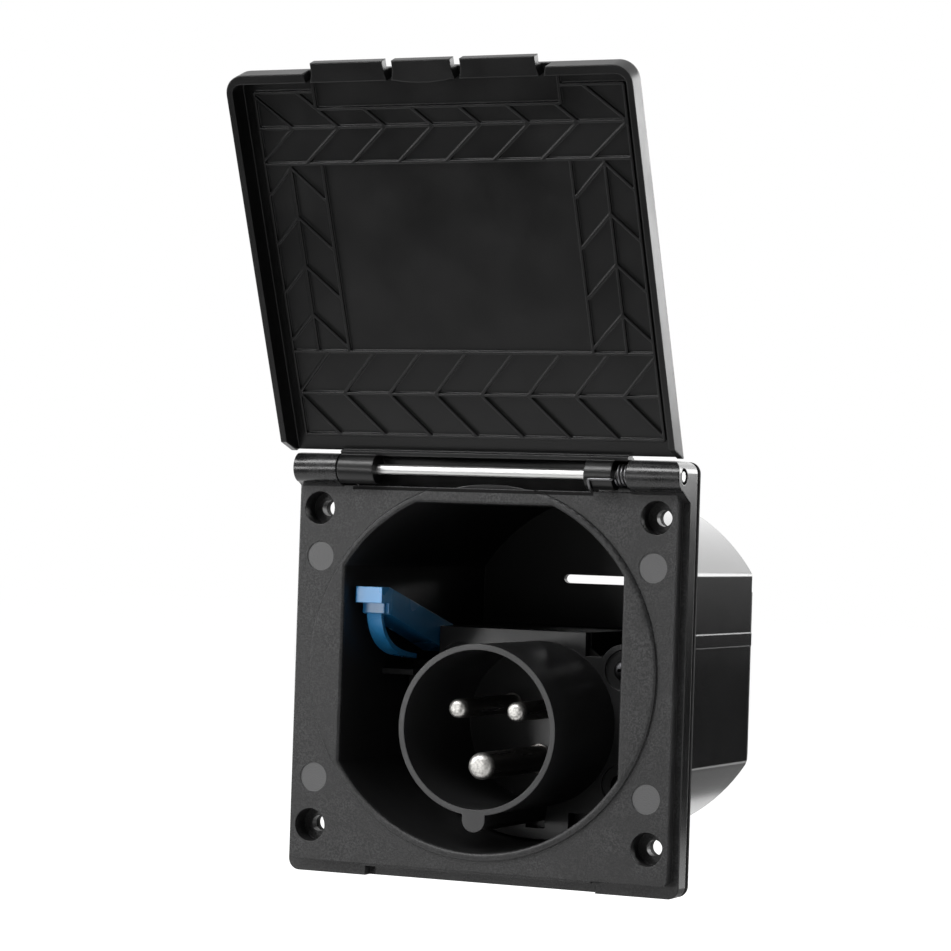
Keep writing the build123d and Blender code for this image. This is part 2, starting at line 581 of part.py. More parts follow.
def lid_tabs():
    """Two finger tabs and the snap tongue between them, on the free edge."""
    tab_from = TONGUE_WIDTH / 2 + TAB_GAP
    top = LID_FREE_U + TAB_REACH
    tabs = [window(-TONGUE_WIDTH / 2, TONGUE_WIDTH / 2, LID_INNER_U, top)]
    tabs += [window(*sorted((side * tab_from, side * (tab_from + TAB_WIDTH))), LID_INNER_U, top) for side in (-1, 1)]
    half = TONGUE_WIDTH / 2
    bulge = make_face([
        ThreePointArc((-half, LID_INNER_U), (0, LID_INNER_U - TONGUE_BULGE), (half, LID_INNER_U)),
        Line((half, LID_INNER_U), (-half, LID_INNER_U)),
    ])
    return extrude(Pos(0, 0, LID_SKIRT_N - TAB_THICKNESS) * (Sketch() + tabs + [bulge]), TAB_THICKNESS)


def lid_tab_slots():
    """Tapered slots through the skirt beside each tab, which let the tongue spring."""
    centres = [TONGUE_WIDTH / 2 + TAB_GAP / 2, TONGUE_WIDTH / 2 + 1.5 * TAB_GAP + TAB_WIDTH]
    slots = []
    for x in centres + [-x for x in centres]:
        slots.append(area([
            (x - TAB_GAP / 2, LID_FREE_U), (x + TAB_GAP / 2, LID_FREE_U),
            (x + TAB_GAP / 4, LID_INNER_U), (x - TAB_GAP / 4, LID_INNER_U),
        ]))
    return extrude(Pos(0, 0, TAB_SLOT_N) * (Sketch() + slots), LID_SKIRT_N - TAB_SLOT_N)


def lid_hinge():
    """Curved web behind the hinge pin with a knuckle near each end."""
    reach = 2 * HINGE_WEB_OUTER_RADIUS
    sector = area([(0, 0), (reach, 0), (reach, -reach), (-reach / 3, -reach)])
    web = (Circle(HINGE_WEB_OUTER_RADIUS) & sector) + window(0, LID_HINGE_EDGE_U, LID_OUTER_N, LID_FLOOR_N)
    web -= Circle(HINGE_WEB_INNER_RADIUS)
    hinge = bar(web, -KNUCKLE_OUTER_X, KNUCKLE_OUTER_X)
    barrel = Circle(KNUCKLE_RADIUS)
    hinge += bar(barrel, -KNUCKLE_OUTER_X, -KNUCKLE_OUTER_X + LEFT_KNUCKLE_WIDTH)
    hinge += bar(barrel, RIGHT_KNUCKLE_END_X - RIGHT_KNUCKLE_WIDTH, RIGHT_KNUCKLE_END_X)
    return hinge


def lid():
    """The hinged lid, built flat in its own frame and stood open."""
    tray = lid_tray() + extrude(Pos(0, 0, LID_FLOOR_N) * lid_ribs(), RIB_HEIGHT)
    tray = tray - lid_tab_slots() + lid_tabs() + lid_hinge()
    tray -= bar(Circle(HINGE_PIN_RADIUS + PIN_RUNNING_GAP), -KNUCKLE_OUTER_X, KNUCKLE_OUTER_X)
    return LID_FRAME * tray


def hinge_pin():
    """Plain steel rod held in the two ears."""
    rod = Pos(HINGE_Y, HINGE_Z) * Circle(HINGE_PIN_RADIUS)
    return bar(rod, HINGE_LEFT_X + HINGE_PIN_END_GAP, HINGE_RIGHT_X - HINGE_PIN_END_GAP)


def wire(path):
    """Eight-sided spring wire along a path."""
    section = Plane(origin=path @ 0, z_dir=path % 0) * RegularPolygon(WIRE_RADIUS, 8)
    return sweep(section, path=path, is_frenet=True)


def round_hinge(x, radius, degrees):
    """A point round the hinge axis, at an angle that runs from the front downwards."""
    turn = math.radians(degrees)
    return (x, HINGE_Y - radius * math.cos(turn), HINGE_Z - radius * math.sin(turn))


def lid_spring():
    """Torsion spring round the pin, one leg hooked round the lid's knuckle and one on the flange."""
    length = COIL_PITCH * (COIL_WHOLE_TURNS + (90 - SPRING_LEG_DEG) / 360)
    start_x = RIGHT_KNUCKLE_END_X + (SPRING_BAY_WIDTH - length) / 2
    axis = Vector(start_x, HINGE_Y, HINGE_Z)
    first = Vector(round_hinge(start_x, COIL_RADIUS, SPRING_LEG_DEG))
    coil = Plane(origin=axis, x_dir=first - axis, z_dir=(1, 0, 0)) * wire(Helix(COIL_PITCH, length, COIL_RADIUS))
    reach = KNUCKLE_RADIUS + WIRE_RADIUS + SPRING_LEG_GAP
    end_x = start_x - SPRING_LEG_LENGTH
    hook = [round_hinge(end_x, reach, SPRING_LEG_DEG + k * SPRING_HOOK_DEG) for k in range(3)]
    lid_leg = FilletPolyline(first, round_hinge(start_x, reach, SPRING_LEG_DEG), *hook, radius=WIRE_BEND_RADIUS)
    last_x = start_x + length
    wall_leg = Line(round_hinge(last_x, COIL_RADIUS, 90), (last_x, LEDGE_Y, HINGE_Z - COIL_RADIUS))
    return coil + wire(lid_leg) + wire(wall_leg)


def pin_places():
    """Contact pin centres: live, neutral and earth at six o'clock."""
    places = {}
    for name, angle in (("live_pin", 150), ("neutral_pin", 30), ("earth_pin", 270)):
        turn = math.radians(angle)
        places[name] = (PIN_CIRCLE_RADIUS * math.cos(turn), SHROUD_Z + PIN_CIRCLE_RADIUS * math.sin(turn), turn)
    return places


def pin_radius(name):
    """Radius of a contact pin's front end."""
    return EARTH_PIN_RADIUS if name == "earth_pin" else LINE_PIN_RADIUS


def carrier_ears(rim):
    """Round screw ears of the pin carrier, drawn in by a rim and kept clear of the lever."""
    ears = Sketch() + [disc(x, z, CARRIER_EAR_RADIUS - rim) for x, z in CARRIER_SCREWS]
    return ears & window(LEVER_BAY_X + rim, RECESS_HALF_WIDTH, RECESS_BOTTOM_Z, SHELF_Z)


def carrier_plate():
    """Base plate of the pin carrier: recess outline up to the stepped shelf, screw ears and drain slots."""
    side = RECESS_HALF_WIDTH
    lever_z = LEVER_BAY_Z - CARRIER_LEVER_CLEARANCE
    below = area([
        (-side, lever_z), (LEVER_BAY_X, lever_z), (LEVER_BAY_X, SHELF_Z), (SHELF_STEP_X, SHELF_Z),
        (SHELF_STEP_X, SHELF_STEP_Z), (side, SHELF_STEP_Z), (side, RECESS_BOTTOM_Z), (-side, RECESS_BOTTOM_Z),
    ])
    outline = (recess_section(-CARRIER_EDGE_GAP) & below) + carrier_ears(0)
    for k in (-1, 0, 1):
        x = k * DRAIN_SLOT_PITCH
        outline -= window(x - DRAIN_SLOT_WIDTH / 2, x + DRAIN_SLOT_WIDTH / 2, DRAIN_SLOT_Z - DRAIN_SLOT_HEIGHT / 2,
                          DRAIN_SLOT_Z + DRAIN_SLOT_HEIGHT / 2)
    plate = slab(outline, CARRIER_FRONT_Y, CARRIER_BACK_Y)
    return plate - slab(carrier_ears(CARRIER_EAR_RIM), CARRIER_FRONT_Y, CARRIER_SEAT_Y)


def pin_carrier():
    """Keyed shroud, base plate and the insulating core that holds pins and terminals."""
    key_centre = SHROUD_Z - SHROUD_RADIUS - KEY_REACH + KEY_WIDTH / 2
    key = disc(0, key_centre, KEY_WIDTH / 2) + window(
        -KEY_WIDTH / 2, KEY_WIDTH / 2, key_centre, SHROUD_Z - SHROUD_INNER_RADIUS)
    body = slab(disc(0, SHROUD_Z, SHROUD_RADIUS) + key, RING_Y, CARRIER_BACK_Y) + carrier_plate()
    body += slab(disc(0, SHROUD_Z, CARRIER_CORE_RADIUS), CARRIER_BACK_Y, CARRIER_CORE_REAR_Y)
    body += [slab(disc(x, z, BOSS_RADIUS), CARRIER_BACK_Y, PARTITION_Y) for x, z in CARRIER_SCREWS]
    body -= slab(disc(0, SHROUD_Z, SHROUD_INNER_RADIUS), RING_Y, SHROUD_FLOOR_Y)
    hole = SMALL_SCREW_RADIUS + SMALL_SCREW_HOLE_GAP
    body -= [slab(disc(x, z, hole), CARRIER_SEAT_Y, PARTITION_Y) for x, z in CARRIER_SCREWS]
    pocket = TERMINAL_RADIUS + TERMINAL_POCKET_GAP
    for name, (x, z, turn) in pin_places().items():
        collar = pin_radius(name) + PIN_COLLAR_STEP
        body -= slab(disc(x, z, collar + PIN_FIT_GAP), SHROUD_FLOOR_Y, TERMINAL_FRONT_Y)
        body -= slab(disc(x, z, pocket), TERMINAL_FRONT_Y, CARRIER_CORE_REAR_Y)
        way = Pos(x, z) * Rot(0, 0, math.degrees(turn)) * Rectangle(
            CARRIER_CORE_RADIUS, TERMINAL_SLOT_WIDTH, align=(Align.MIN, Align.CENTER))
        body -= slab(way, TERMINAL_FRONT_Y + TERMINAL_SLOT_START, CARRIER_CORE_REAR_Y)
    return body


def carrier_seal():
    """Flat ring between the carrier's base plate and the partition."""
    inner = CARRIER_CORE_RADIUS + CARRIER_CORE_GAP + SEAL_SIDE_GAP
    ring = disc(0, SHROUD_Z, inner + CARRIER_SEAL_WIDTH) - disc(0, SHROUD_Z, inner)
    return slab(ring, CARRIER_BACK_Y, PARTITION_Y)


def small_screw(x, z, head_y, direction, grip):
    """Pan-head screw along y: the head sits at head_y and the shank runs in the given direction."""
    shank = slab(disc(x, z, SMALL_SCREW_RADIUS), *sorted((head_y, head_y + direction * grip)))
    head = slab(disc(x, z, SMALL_SCREW_HEAD_RADIUS), *sorted((head_y, head_y - direction * SMALL_SCREW_HEAD)))
    rim = head.faces().sort_by(Axis.Y)[0 if direction > 0 else -1].edges()
    return chamfer(rim, SMALL_SCREW_CHAMFER) + shank


def carrier_screws():
    """Four screws through the carrier's ears into the partition's bosses."""
    grip = PARTITION_Y - CARRIER_SEAT_Y + SMALL_SCREW_BITE - SMALL_SCREW_END_GAP
    return Compound([small_screw(x, z, CARRIER_SEAT_Y, 1, grip) for x, z in CARRIER_SCREWS])


def contact_pin(name):
    """Domed contact pin with a collar in the carrier and a terminal barrel on its rear end."""
    x, z, turn = pin_places()[name]
    radius = pin_radius(name)
    tip_y = EARTH_PIN_TIP_Y if name == "earth_pin" else LINE_PIN_TIP_Y
    pin = slab(disc(x, z, radius), tip_y, SHROUD_FLOOR_Y)
    pin = fillet(pin.faces().sort_by(Axis.Y)[0].edges(), radius * PIN_TIP_RADIUS_SHARE)
    pin += slab(disc(x, z, radius + PIN_COLLAR_STEP), SHROUD_FLOOR_Y, TERMINAL_FRONT_Y)
    pin += slab(disc(x, z, TERMINAL_RADIUS), TERMINAL_FRONT_Y, CARRIER_CORE_REAR_Y)
    pin -= slab(disc(x, z, TERMINAL_WIRE_RADIUS), CARRIER_CORE_REAR_Y - TERMINAL_WIRE_DEPTH, CARRIER_CORE_REAR_Y)
    return pin - terminal_rod(x, z, turn, TERMINAL_SCREW_RADIUS + PIN_FIT_GAP, 0, TERMINAL_RADIUS)


def terminal_rod(x, z, turn, radius, start, end):
    """Round rod across a terminal barrel, pointing away from the shroud's axis."""
    out = Vector(math.cos(turn), 0, math.sin(turn))
    mid_y = CARRIER_CORE_REAR_Y - TERMINAL_WIRE_DEPTH / 2
    origin = Vector(x, mid_y, z) + out * start
    return extrude(Plane(origin=origin, z_dir=out) * Circle(radius), end - start)


def terminal_screws():
    """One clamping screw in each terminal barrel."""
    screws = []
    for x, z, turn in pin_places().values():
        seat = TERMINAL_RADIUS + TERMINAL_SCREW_STANDOFF
        shank = terminal_rod(x, z, turn, TERMINAL_SCREW_RADIUS, 0, seat)
        head = terminal_rod(x, z, turn, TERMINAL_SCREW_HEAD_RADIUS, seat, seat + TERMINAL_SCREW_HEAD)
        screws.append(shank + head)
    return Compound(screws)


def release_lever():
    """Lever with a square nose over a narrower step, a sloping arm, a pivot hub and a springy leaf tail."""
    left = -RECESS_HALF_WIDTH + LEVER_SIDE_GAP
    right = LEVER_BAY_X - LEVER_HUB_SIDE_GAP
    nose_back = LEVER_NOSE_Y + LEVER_NOSE_LENGTH
    nose_low = LEVER_NOSE_TOP_Z - LEVER_NOSE_HEIGHT
    arm_low = LEVER_NOSE_TOP_Z - LEVER_ARM_HEIGHT
    arm = area([
        (LEVER_NOSE_Y, LEVER_NOSE_TOP_Z), (LEVER_NOSE_Y, nose_low), (nose_back, nose_low), (nose_back, arm_low),
        (LEVER_PIVOT_Y, LEVER_PIVOT_Z - LEVER_HUB_RADIUS), (LEVER_PIVOT_Y, LEVER_PIVOT_Z + LEVER_HUB_RADIUS),
        (nose_back, LEVER_NOSE_TOP_Z),
    ])
    body = bar(arm + Pos(LEVER_PIVOT_Y, LEVER_PIVOT_Z) * Circle(LEVER_HUB_RADIUS), left, right)
    step_y = LEVER_NOSE_Y + LEVER_STEP_BACK
    body += bar(window(step_y, nose_back, arm_low, nose_low), left + LEVER_STEP_INSET, right - LEVER_STEP_INSET)
    route = Spline((step_y + TAIL_THICKNESS / 2, arm_low + TAIL_THICKNESS), (TAIL_TIP_Y, TAIL_TIP_Z),
                   tangents=((0.1, -1), (1, -0.1)), tangent_scalars=(1.3, 1.0))
    mid = (left + right) / 2
    body += bar(trace(route, TAIL_THICKNESS), mid - TAIL_WIDTH / 2, mid + TAIL_WIDTH / 2)
    bore = Pos(LEVER_PIVOT_Y, LEVER_PIVOT_Z) * Circle(LEVER_PIN_RADIUS + PIN_RUNNING_GAP)
    return body - bar(bore, left, right)


def lever_pin():
    """Pivot of the release lever, from the box's side wall to the shelf's upright."""
    rod = Pos(LEVER_PIVOT_Y, LEVER_PIVOT_Z) * Circle(LEVER_PIN_RADIUS)
    return bar(rod, -RECESS_HALF_WIDTH - BOX_WALL, LEVER_BAY_X + SHELF_THICKNESS)


def cover_section():
    """Outline of the rear cover: the back of the box up to just under the slit."""
    side = RECESS_HALF_WIDTH + BOX_WALL
    top = SLIT_Z - SLIT_HEIGHT / 2 - REAR_COVER_SLIT_GAP
    return recess_section(BOX_WALL - REAR_COVER_INSET) & window(-side, side, FLANGE_BOTTOM_Z, top)


def rear_cover():
    """Plate that closes the wiring chamber, with the gland's hole and the screw holes."""
    outline = cover_section() - disc(0, GLAND_Z, GLAND_THREAD_RADIUS + GLAND_HOLE_GAP)
    outline -= [disc(x, z, SMALL_SCREW_RADIUS + SMALL_SCREW_HOLE_GAP) for x, z in REAR_SCREWS]
    return slab(outline, COVER_FRONT_Y, COVER_BACK_Y)


def rear_cover_seal():
    """Flat seal between the back of the box and the cover, open over the wiring chamber."""
    opening = recess_section(0) & shelf_area(SHELF_THICKNESS, False)
    return slab(cover_section() - opening, BOX_DEPTH, COVER_FRONT_Y)


def rear_cover_screws():
    """Four screws that hold the rear cover to the box's bosses."""
    grip = REAR_COVER_THICKNESS + SMALL_SCREW_BITE - SMALL_SCREW_END_GAP
    return Compound([small_screw(x, z, COVER_BACK_Y, -1, grip) for x, z in REAR_SCREWS])


def hexagon(across_flats):
    """Hexagonal x-z outline round the gland's axis."""
    return Pos(0, GLAND_Z) * RegularPolygon(across_flats / 2, 6, major_radius=False)


def gland_body():
    """Gland body: hexagon collar on the cover, threads both ways and a through bore."""
    collar_end = COVER_BACK_Y + GLAND_BODY_COLLAR
    body = slab(hexagon(GLAND_BODY_ACROSS_FLATS), COVER_BACK_Y, collar_end)
    body += slab(disc(0, GLAND_Z, GLAND_THREAD_RADIUS), COVER_FRONT_Y - GLAND_INNER_THREAD,
                 collar_end + GLAND_OUTER_THREAD)
    body -= slab(disc(0, GLAND_Z, GLAND_CABLE_RADIUS + GLAND_CABLE_GAP), COVER_FRONT_Y - GLAND_INNER_THREAD, collar_end)
    return body - slab(disc(0, GLAND_Z, GLAND_SEAL_RADIUS + GLAND_FIT_GAP), collar_end,
                       collar_end + GLAND_OUTER_THREAD)


def gland_locknut():
    """Hexagon nut that pulls the gland body tight from inside the chamber."""
    ring = hexagon(GLAND_LOCKNUT_ACROSS_FLATS) - disc(0, GLAND_Z, GLAND_THREAD_RADIUS + GLAND_FIT_GAP)
    return slab(ring, COVER_FRONT_Y - GLAND_LOCKNUT_THICKNESS, COVER_FRONT_Y)


def gland_seal():
    """Rubber bush that the nut squeezes on to the cable."""
    start = COVER_BACK_Y + GLAND_BODY_COLLAR
    end = start + GLAND_NUT_LENGTH - GLAND_NUT_LIP
    ring = disc(0, GLAND_Z, GLAND_SEAL_RADIUS) - disc(0, GLAND_Z, GLAND_CABLE_RADIUS)
    return slab(ring, start, end)


def gland_nut():
    """Clamping nut with a hexagon skirt and a rounded end."""
    start = COVER_BACK_Y + GLAND_BODY_COLLAR
    end = start + GLAND_NUT_LENGTH
    thread = GLAND_THREAD_RADIUS + GLAND_FIT_GAP
    nut = slab(hexagon(GLAND_BODY_ACROSS_FLATS) & disc(0, GLAND_Z, thread + 2 * GLAND_NUT_WALL), start,
               start + GLAND_OUTER_THREAD)
    dome = slab(disc(0, GLAND_Z, thread + GLAND_NUT_WALL / 2), start, end)
    nut += chamfer(dome.faces().sort_by(Axis.Y)[-1].edges(), GLAND_NUT_LIP)
    nut -= slab(disc(0, GLAND_Z, thread), start, start + GLAND_OUTER_THREAD)
    nut -= slab(disc(0, GLAND_Z, GLAND_SEAL_RADIUS + GLAND_FIT_GAP), start, end - GLAND_NUT_LIP)
    return nut - slab(disc(0, GLAND_Z, GLAND_CABLE_RADIUS + GLAND_CABLE_GAP), start, end)


PIECES = {
    "housing": housing,
    "wall_gasket": wall_gasket,
    "lid": lid,
    "hinge_pin": hinge_pin,
    "lid_spring": lid_spring,
    "pin_carrier": pin_carrier,
    "carrier_seal": carrier_seal,
    "carrier_screws": carrier_screws,
    "terminal_screws": terminal_screws,
    "release_lever": release_lever,
    "lever_pin": lever_pin,
    "rear_cover": rear_cover,
    "rear_cover_seal": rear_cover_seal,
    "rear_cover_screws": rear_cover_screws,
    "gland_body": gland_body,
    "gland_locknut": gland_locknut,
    "gland_seal": gland_seal,
    "gland_nut": gland_nut,
}

os.makedirs("parts", exist_ok=True)
for node, build in PIECES.items():
    export_step(build(), f"parts/{node}.step")
for node in pin_places():
    export_step(contact_pin(node), f"parts/{node}.step")
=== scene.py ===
import json
import math

import bmesh
import bpy
from mathutils import Euler, Matrix, Vector


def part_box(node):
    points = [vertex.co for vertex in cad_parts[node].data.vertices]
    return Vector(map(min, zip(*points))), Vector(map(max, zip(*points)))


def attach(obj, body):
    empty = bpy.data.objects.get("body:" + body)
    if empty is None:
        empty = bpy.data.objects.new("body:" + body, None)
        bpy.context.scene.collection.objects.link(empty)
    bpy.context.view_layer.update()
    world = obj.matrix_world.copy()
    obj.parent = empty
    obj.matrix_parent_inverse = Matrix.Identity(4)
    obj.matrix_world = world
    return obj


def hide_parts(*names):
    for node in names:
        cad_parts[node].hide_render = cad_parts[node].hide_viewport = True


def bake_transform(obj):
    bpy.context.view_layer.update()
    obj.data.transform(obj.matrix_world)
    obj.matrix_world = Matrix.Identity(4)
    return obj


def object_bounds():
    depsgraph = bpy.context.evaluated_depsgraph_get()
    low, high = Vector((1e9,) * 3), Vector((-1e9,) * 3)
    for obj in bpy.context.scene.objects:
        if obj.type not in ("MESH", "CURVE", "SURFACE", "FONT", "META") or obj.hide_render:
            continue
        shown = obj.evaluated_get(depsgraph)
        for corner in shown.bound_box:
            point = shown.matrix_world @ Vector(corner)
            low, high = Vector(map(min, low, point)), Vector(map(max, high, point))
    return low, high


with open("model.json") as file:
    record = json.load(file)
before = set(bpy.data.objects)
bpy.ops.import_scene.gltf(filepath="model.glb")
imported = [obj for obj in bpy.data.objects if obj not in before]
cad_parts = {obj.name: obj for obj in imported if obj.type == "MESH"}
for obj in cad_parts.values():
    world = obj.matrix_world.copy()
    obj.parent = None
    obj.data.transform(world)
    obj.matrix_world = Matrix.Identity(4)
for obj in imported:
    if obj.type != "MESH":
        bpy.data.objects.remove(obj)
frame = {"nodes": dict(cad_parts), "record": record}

bl_info = {
    "name": "Flush Mains Inlet",
    "version": (1, 0, 0),
    "blender": (4, 5, 0),
    "location": "View3D > Sidebar > Inlet",
    "description": "Finishes the packed mains inlet: plastics, contacts, hinge parts and a studio stage",
    "category": "Object",
}

NODES = frame["nodes"]
CAD_BOX = [list(corner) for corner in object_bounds()]

# Levels and colours that several finishes use
BLACK = (0.0, 0.0, 0.0, 1.0)
WHITE = (1.0, 1.0, 1.0, 1.0)
NONE_TO_ALL = (0.0, 1.0)
NOISE_SPAN = (0.3, 0.7)
BUMP_DEPTH = 0.0001

# How a noise is stretched
EVEN = (1.0, 1.0, 1.0)
LINES_ALONG_X = (0.05, 1.0, 1.0)
LINES_ALONG_Y = (1.0, 0.05, 1.0)

# The Mix node's colour sockets share their names with other sockets, so they are found by number
MIX_COLOURS = (6, 7)
MIX_RESULT = 2

# Moulded plastic
PLASTIC_PATCH_SCALE = 60.0
PLASTIC_TINT = 0.12
PLASTIC_UNEVEN = (-0.04, 0.05)

# Housing, where the front is grained and the box and the recess are smooth
HOUSING_SPECULAR = 0.35
HOUSING_PATCH_SCALE = 150.0
HOUSING_PATCH_DETAIL = 8.0
HOUSING_PATCH_SPAN = (0.35, 0.65)
HOUSING_UNEVEN = (-0.05, 0.06)
HOUSING_SMOOTH_UNEVEN = 0.2
FRONT_ROUGHNESS = 0.44
SMOOTH_ROUGHNESS = 0.14
# The strip behind the hinge, painted black as shade, is also made rougher
ROUGHNESS_CHANGES = {"ears": -0.18, "recess": 0.32, "hinge_shade": 0.65}
GRAIN_FADE = 0.0004
GRAIN_RELIEF = 0.8
SPECK_SPAN = (0.4, 0.65)
SPECK_SHARE = (0.2, 1.0)
SPECK_LEVEL = 5.0

# Metals
METAL_LINE_SCALE = 900.0
METAL_TINT = 0.06
METAL_UNEVEN = (-0.06, 0.08)
METAL_RELIEF = 0.08
DOME_FADE = 0.0004
DOME_ROUGHNESS = 0.42
SHANK_ROUGHNESS = 0.3
PIN_UNEVEN = (-0.05, 0.06)
WORN_SCALE = 1600.0
WORN_SPAN = (0.35, 0.6)
WORN_LEVEL = 0.55

# Rubber
RUBBER_SPECULAR = 0.25
RUBBER_SCALE = 1500.0
RUBBER_TINT = 0.15
RUBBER_ROUGHNESS = 0.75
RUBBER_UNEVEN = (-0.07, 0.07)
RUBBER_RELIEF = 0.3

# Smoothing of meshes
WELD_GAP = 0.00002
SEAM_GAP = 0.000002
FLAT_ANGLE = math.radians(0.5)
BEVEL_ANGLE = math.radians(60)
SHARP_ANGLE = math.radians(35)

# Spring wire, as steps along its route
HOOK_STEPS = 4
COIL_STEPS = 16
LAST_TURN_STEPS = 3

# Small screws, as shares of thread pitch, head radius and head height
SCREW_SIDES = 28
THREAD_FOOT = 0.25
THREAD_CREST = 0.6
THREAD_END = 0.95
HEAD_RIM = 0.35
HEAD_DOME_STEPS = 5
CROSS_REACH = 0.58
CROSS_WIDTH = 0.3
CROSS_FLOOR = 0.25
CROSS_TOP = 1.1
CROSS_TAPER = 0.6
BLADE_CORNERS = ((-1, -1), (1, -1), (1, 1), (-1, 1))
BLADE_FACES = ((0, 1, 2, 3), (4, 5, 6, 7), (0, 1, 5, 4), (1, 2, 6, 5), (2, 3, 7, 6), (3, 0, 4, 7))

# Stage
ROOM_SPAN = (-0.7, 0.2)
ROOM_LEVELS = (0.2, 1.0)
FILL_LEVEL = 0.28
FLOOR_HALF = 6.0
FLOOR_GREY = (0.5, 0.5, 0.5, 1.0)
FLOOR_ROUGHNESS = 0.9
FLOOR_GLOW = 0.86
CARD_LIFT = 0.002
CAMERA_LENS = 124.52
CAMERA_SENSOR = 36.0
CAMERA_REACH = 50.0
CAMERA_PLACE = (0.346151, -0.781453, 0.038558)
CAMERA_TILT = math.radians(90.8496)
CAMERA_ROLL = math.radians(-1.8378)
CAMERA_TURN = math.radians(24.3305)


def length_setting(name, description, default, low, high):
    """A length with its limits."""
    return bpy.props.FloatProperty(
        name=name, description=description, default=default, min=low, max=high,
        subtype="DISTANCE", unit="LENGTH")


def angle_setting(name, description, degrees):
    """An angle up to half a turn."""
    return bpy.props.FloatProperty(
        name=name, description=description, default=math.radians(degrees), min=0.0, max=math.pi,
        subtype="ANGLE", unit="ROTATION")


def colour_setting(name, description, red, green, blue):
    """An opaque colour."""
    return bpy.props.FloatVectorProperty(
        name=name, description=description, subtype="COLOR", size=4, min=0.0, max=1.0,
        default=(red, green, blue, 1.0))


class InletSizes(bpy.types.PropertyGroup):
    """Sizes of the finishes, the spring, the screws and the stage."""

    edge_round: length_setting(
        "Edge rounding", "Radius on the edges of rear cover, gasket, seals and gland", 0.0003, 0.0, 0.002)
    rib_round: length_setting(
        "Rib rounding", "Radius on the edges of the lid and its ribs", 0.0005, 0.0, 0.001)
    housing_round: length_setting(
        "Housing rounding", "Radius on the edges of housing, pin carrier and lever", 0.0003, 0.0, 0.001)
    grain: length_setting(
        "Grain size", "Spacing of the moulded grain", 0.00045, 0.0001, 0.005)
    grain_end: length_setting(
        "Grain end", "Depth at which the grained rim turns into the smooth recess", -0.0103, -0.02, 0.02)
    rim_radius: length_setting(
        "Rim radius", "Radius outside which the whole flange is grained", 0.0478, 0.01, 0.1)
    rim_z: length_setting(
        "Rim height", "Height of the recess's centre", 0.0011, -0.05, 0.05)
    wall_radius: length_setting(
        "Wall radius", "Radius at the middle of the box's wall", 0.0477, 0.01, 0.1)
    wall_x: length_setting(
        "Wall side", "Distance of the middle of the box's flat sides", 0.0401, 0.01, 0.1)
    side_x: length_setting(
        "Flange side", "Distance past which the flange's smooth sides begin", 0.0547, 0.01, 0.1)
    # The strip behind the hinge is painted shade: black for the shadow of the lid and hinge pin, and for the
    # shade of a groove that the mesh lacks
    shade_strip_x: length_setting(
        "Groove middle", "Middle of the dark matt strip behind the hinge", -0.004, -0.05, 0.05)
    shade_strip_half: length_setting(
        "Groove half length", "Half the length of the strip behind the hinge", 0.034, 0.001, 0.05)
    shade_strip_low: length_setting(
        "Groove foot", "Height of the foot of the strip behind the hinge", 0.0467, 0.01, 0.1)
    shade_strip_high: length_setting(
        "Groove top", "Height of the top of the strip behind the hinge", 0.0555, 0.01, 0.1)
    edge_z: length_setting(
        "Edge height", "Height of the bright edge in the strip behind the hinge", 0.0477, 0.01, 0.1)
    edge_half: length_setting(
        "Edge half width", "Half the width of the bright edge", 0.00015, 0.00001, 0.005)
    ear_z: length_setting(
        "Ear height", "Height above which the smooth hinge ears begin", 0.0478, 0.01, 0.1)
    pin_dome: length_setting(
        "Pin dome", "Length of the satin dome on each contact pin", 0.0026, 0.0005, 0.01)
    mark_radius: length_setting(
        "Ejector mark", "Radius of the paler ejector marks on the front", 0.0038, 0.001, 0.01)
    mark_x: length_setting(
        "Mark across", "Distance of the ejector marks from the middle", 0.0468, 0.0, 0.1)
    mark_z: length_setting(
        "Mark up", "Height of the ejector marks above and below the middle", 0.029, 0.0, 0.1)
    wire_radius: length_setting(
        "Spring wire", "Radius of the lid spring's wire", 0.0004, 0.0001, 0.002)
    coil_radius: length_setting(
        "Spring coil", "Radius of the coil at the middle of the wire", 0.0025, 0.001, 0.01)
    coil_pitch: length_setting(
        "Spring pitch", "Distance from turn to turn", 0.00095, 0.0005, 0.005)
    coil_turns: bpy.props.IntProperty(
        name="Spring turns", description="Whole turns of the coil", default=3, min=1, max=20)
    hook_radius: length_setting(
        "Spring hook", "Distance of the hook from the hinge axis", 0.00455, 0.001, 0.02)
    leg_angle: angle_setting(
        "Spring leg", "Angle of the lid leg below the front", 16)
    hook_angle: angle_setting(
        "Hook turn", "Angle that the hook goes round the knuckle", 56)
    screw_head: length_setting(
        "Screw head", "Radius of the small screws' heads", 0.0029, 0.001, 0.01)
    screw_head_height: length_setting(
        "Screw head height", "Height of the small screws' heads", 0.002, 0.0005, 0.01)
    screw_core: length_setting(
        "Screw core", "Radius at the bottom of the small screws' thread", 0.00115, 0.0005, 0.005)
    screw_thread: length_setting(
        "Screw thread", "Radius at the top of the small screws' thread", 0.0015, 0.0005, 0.005)
    thread_pitch: length_setting(
        "Thread pitch", "Distance from thread to thread", 0.0011, 0.0003, 0.005)
    floor_drop: length_setting(
        "Floor drop", "Depth of the floor below the part's lowest point", 0.1, 0.0, 1.0)


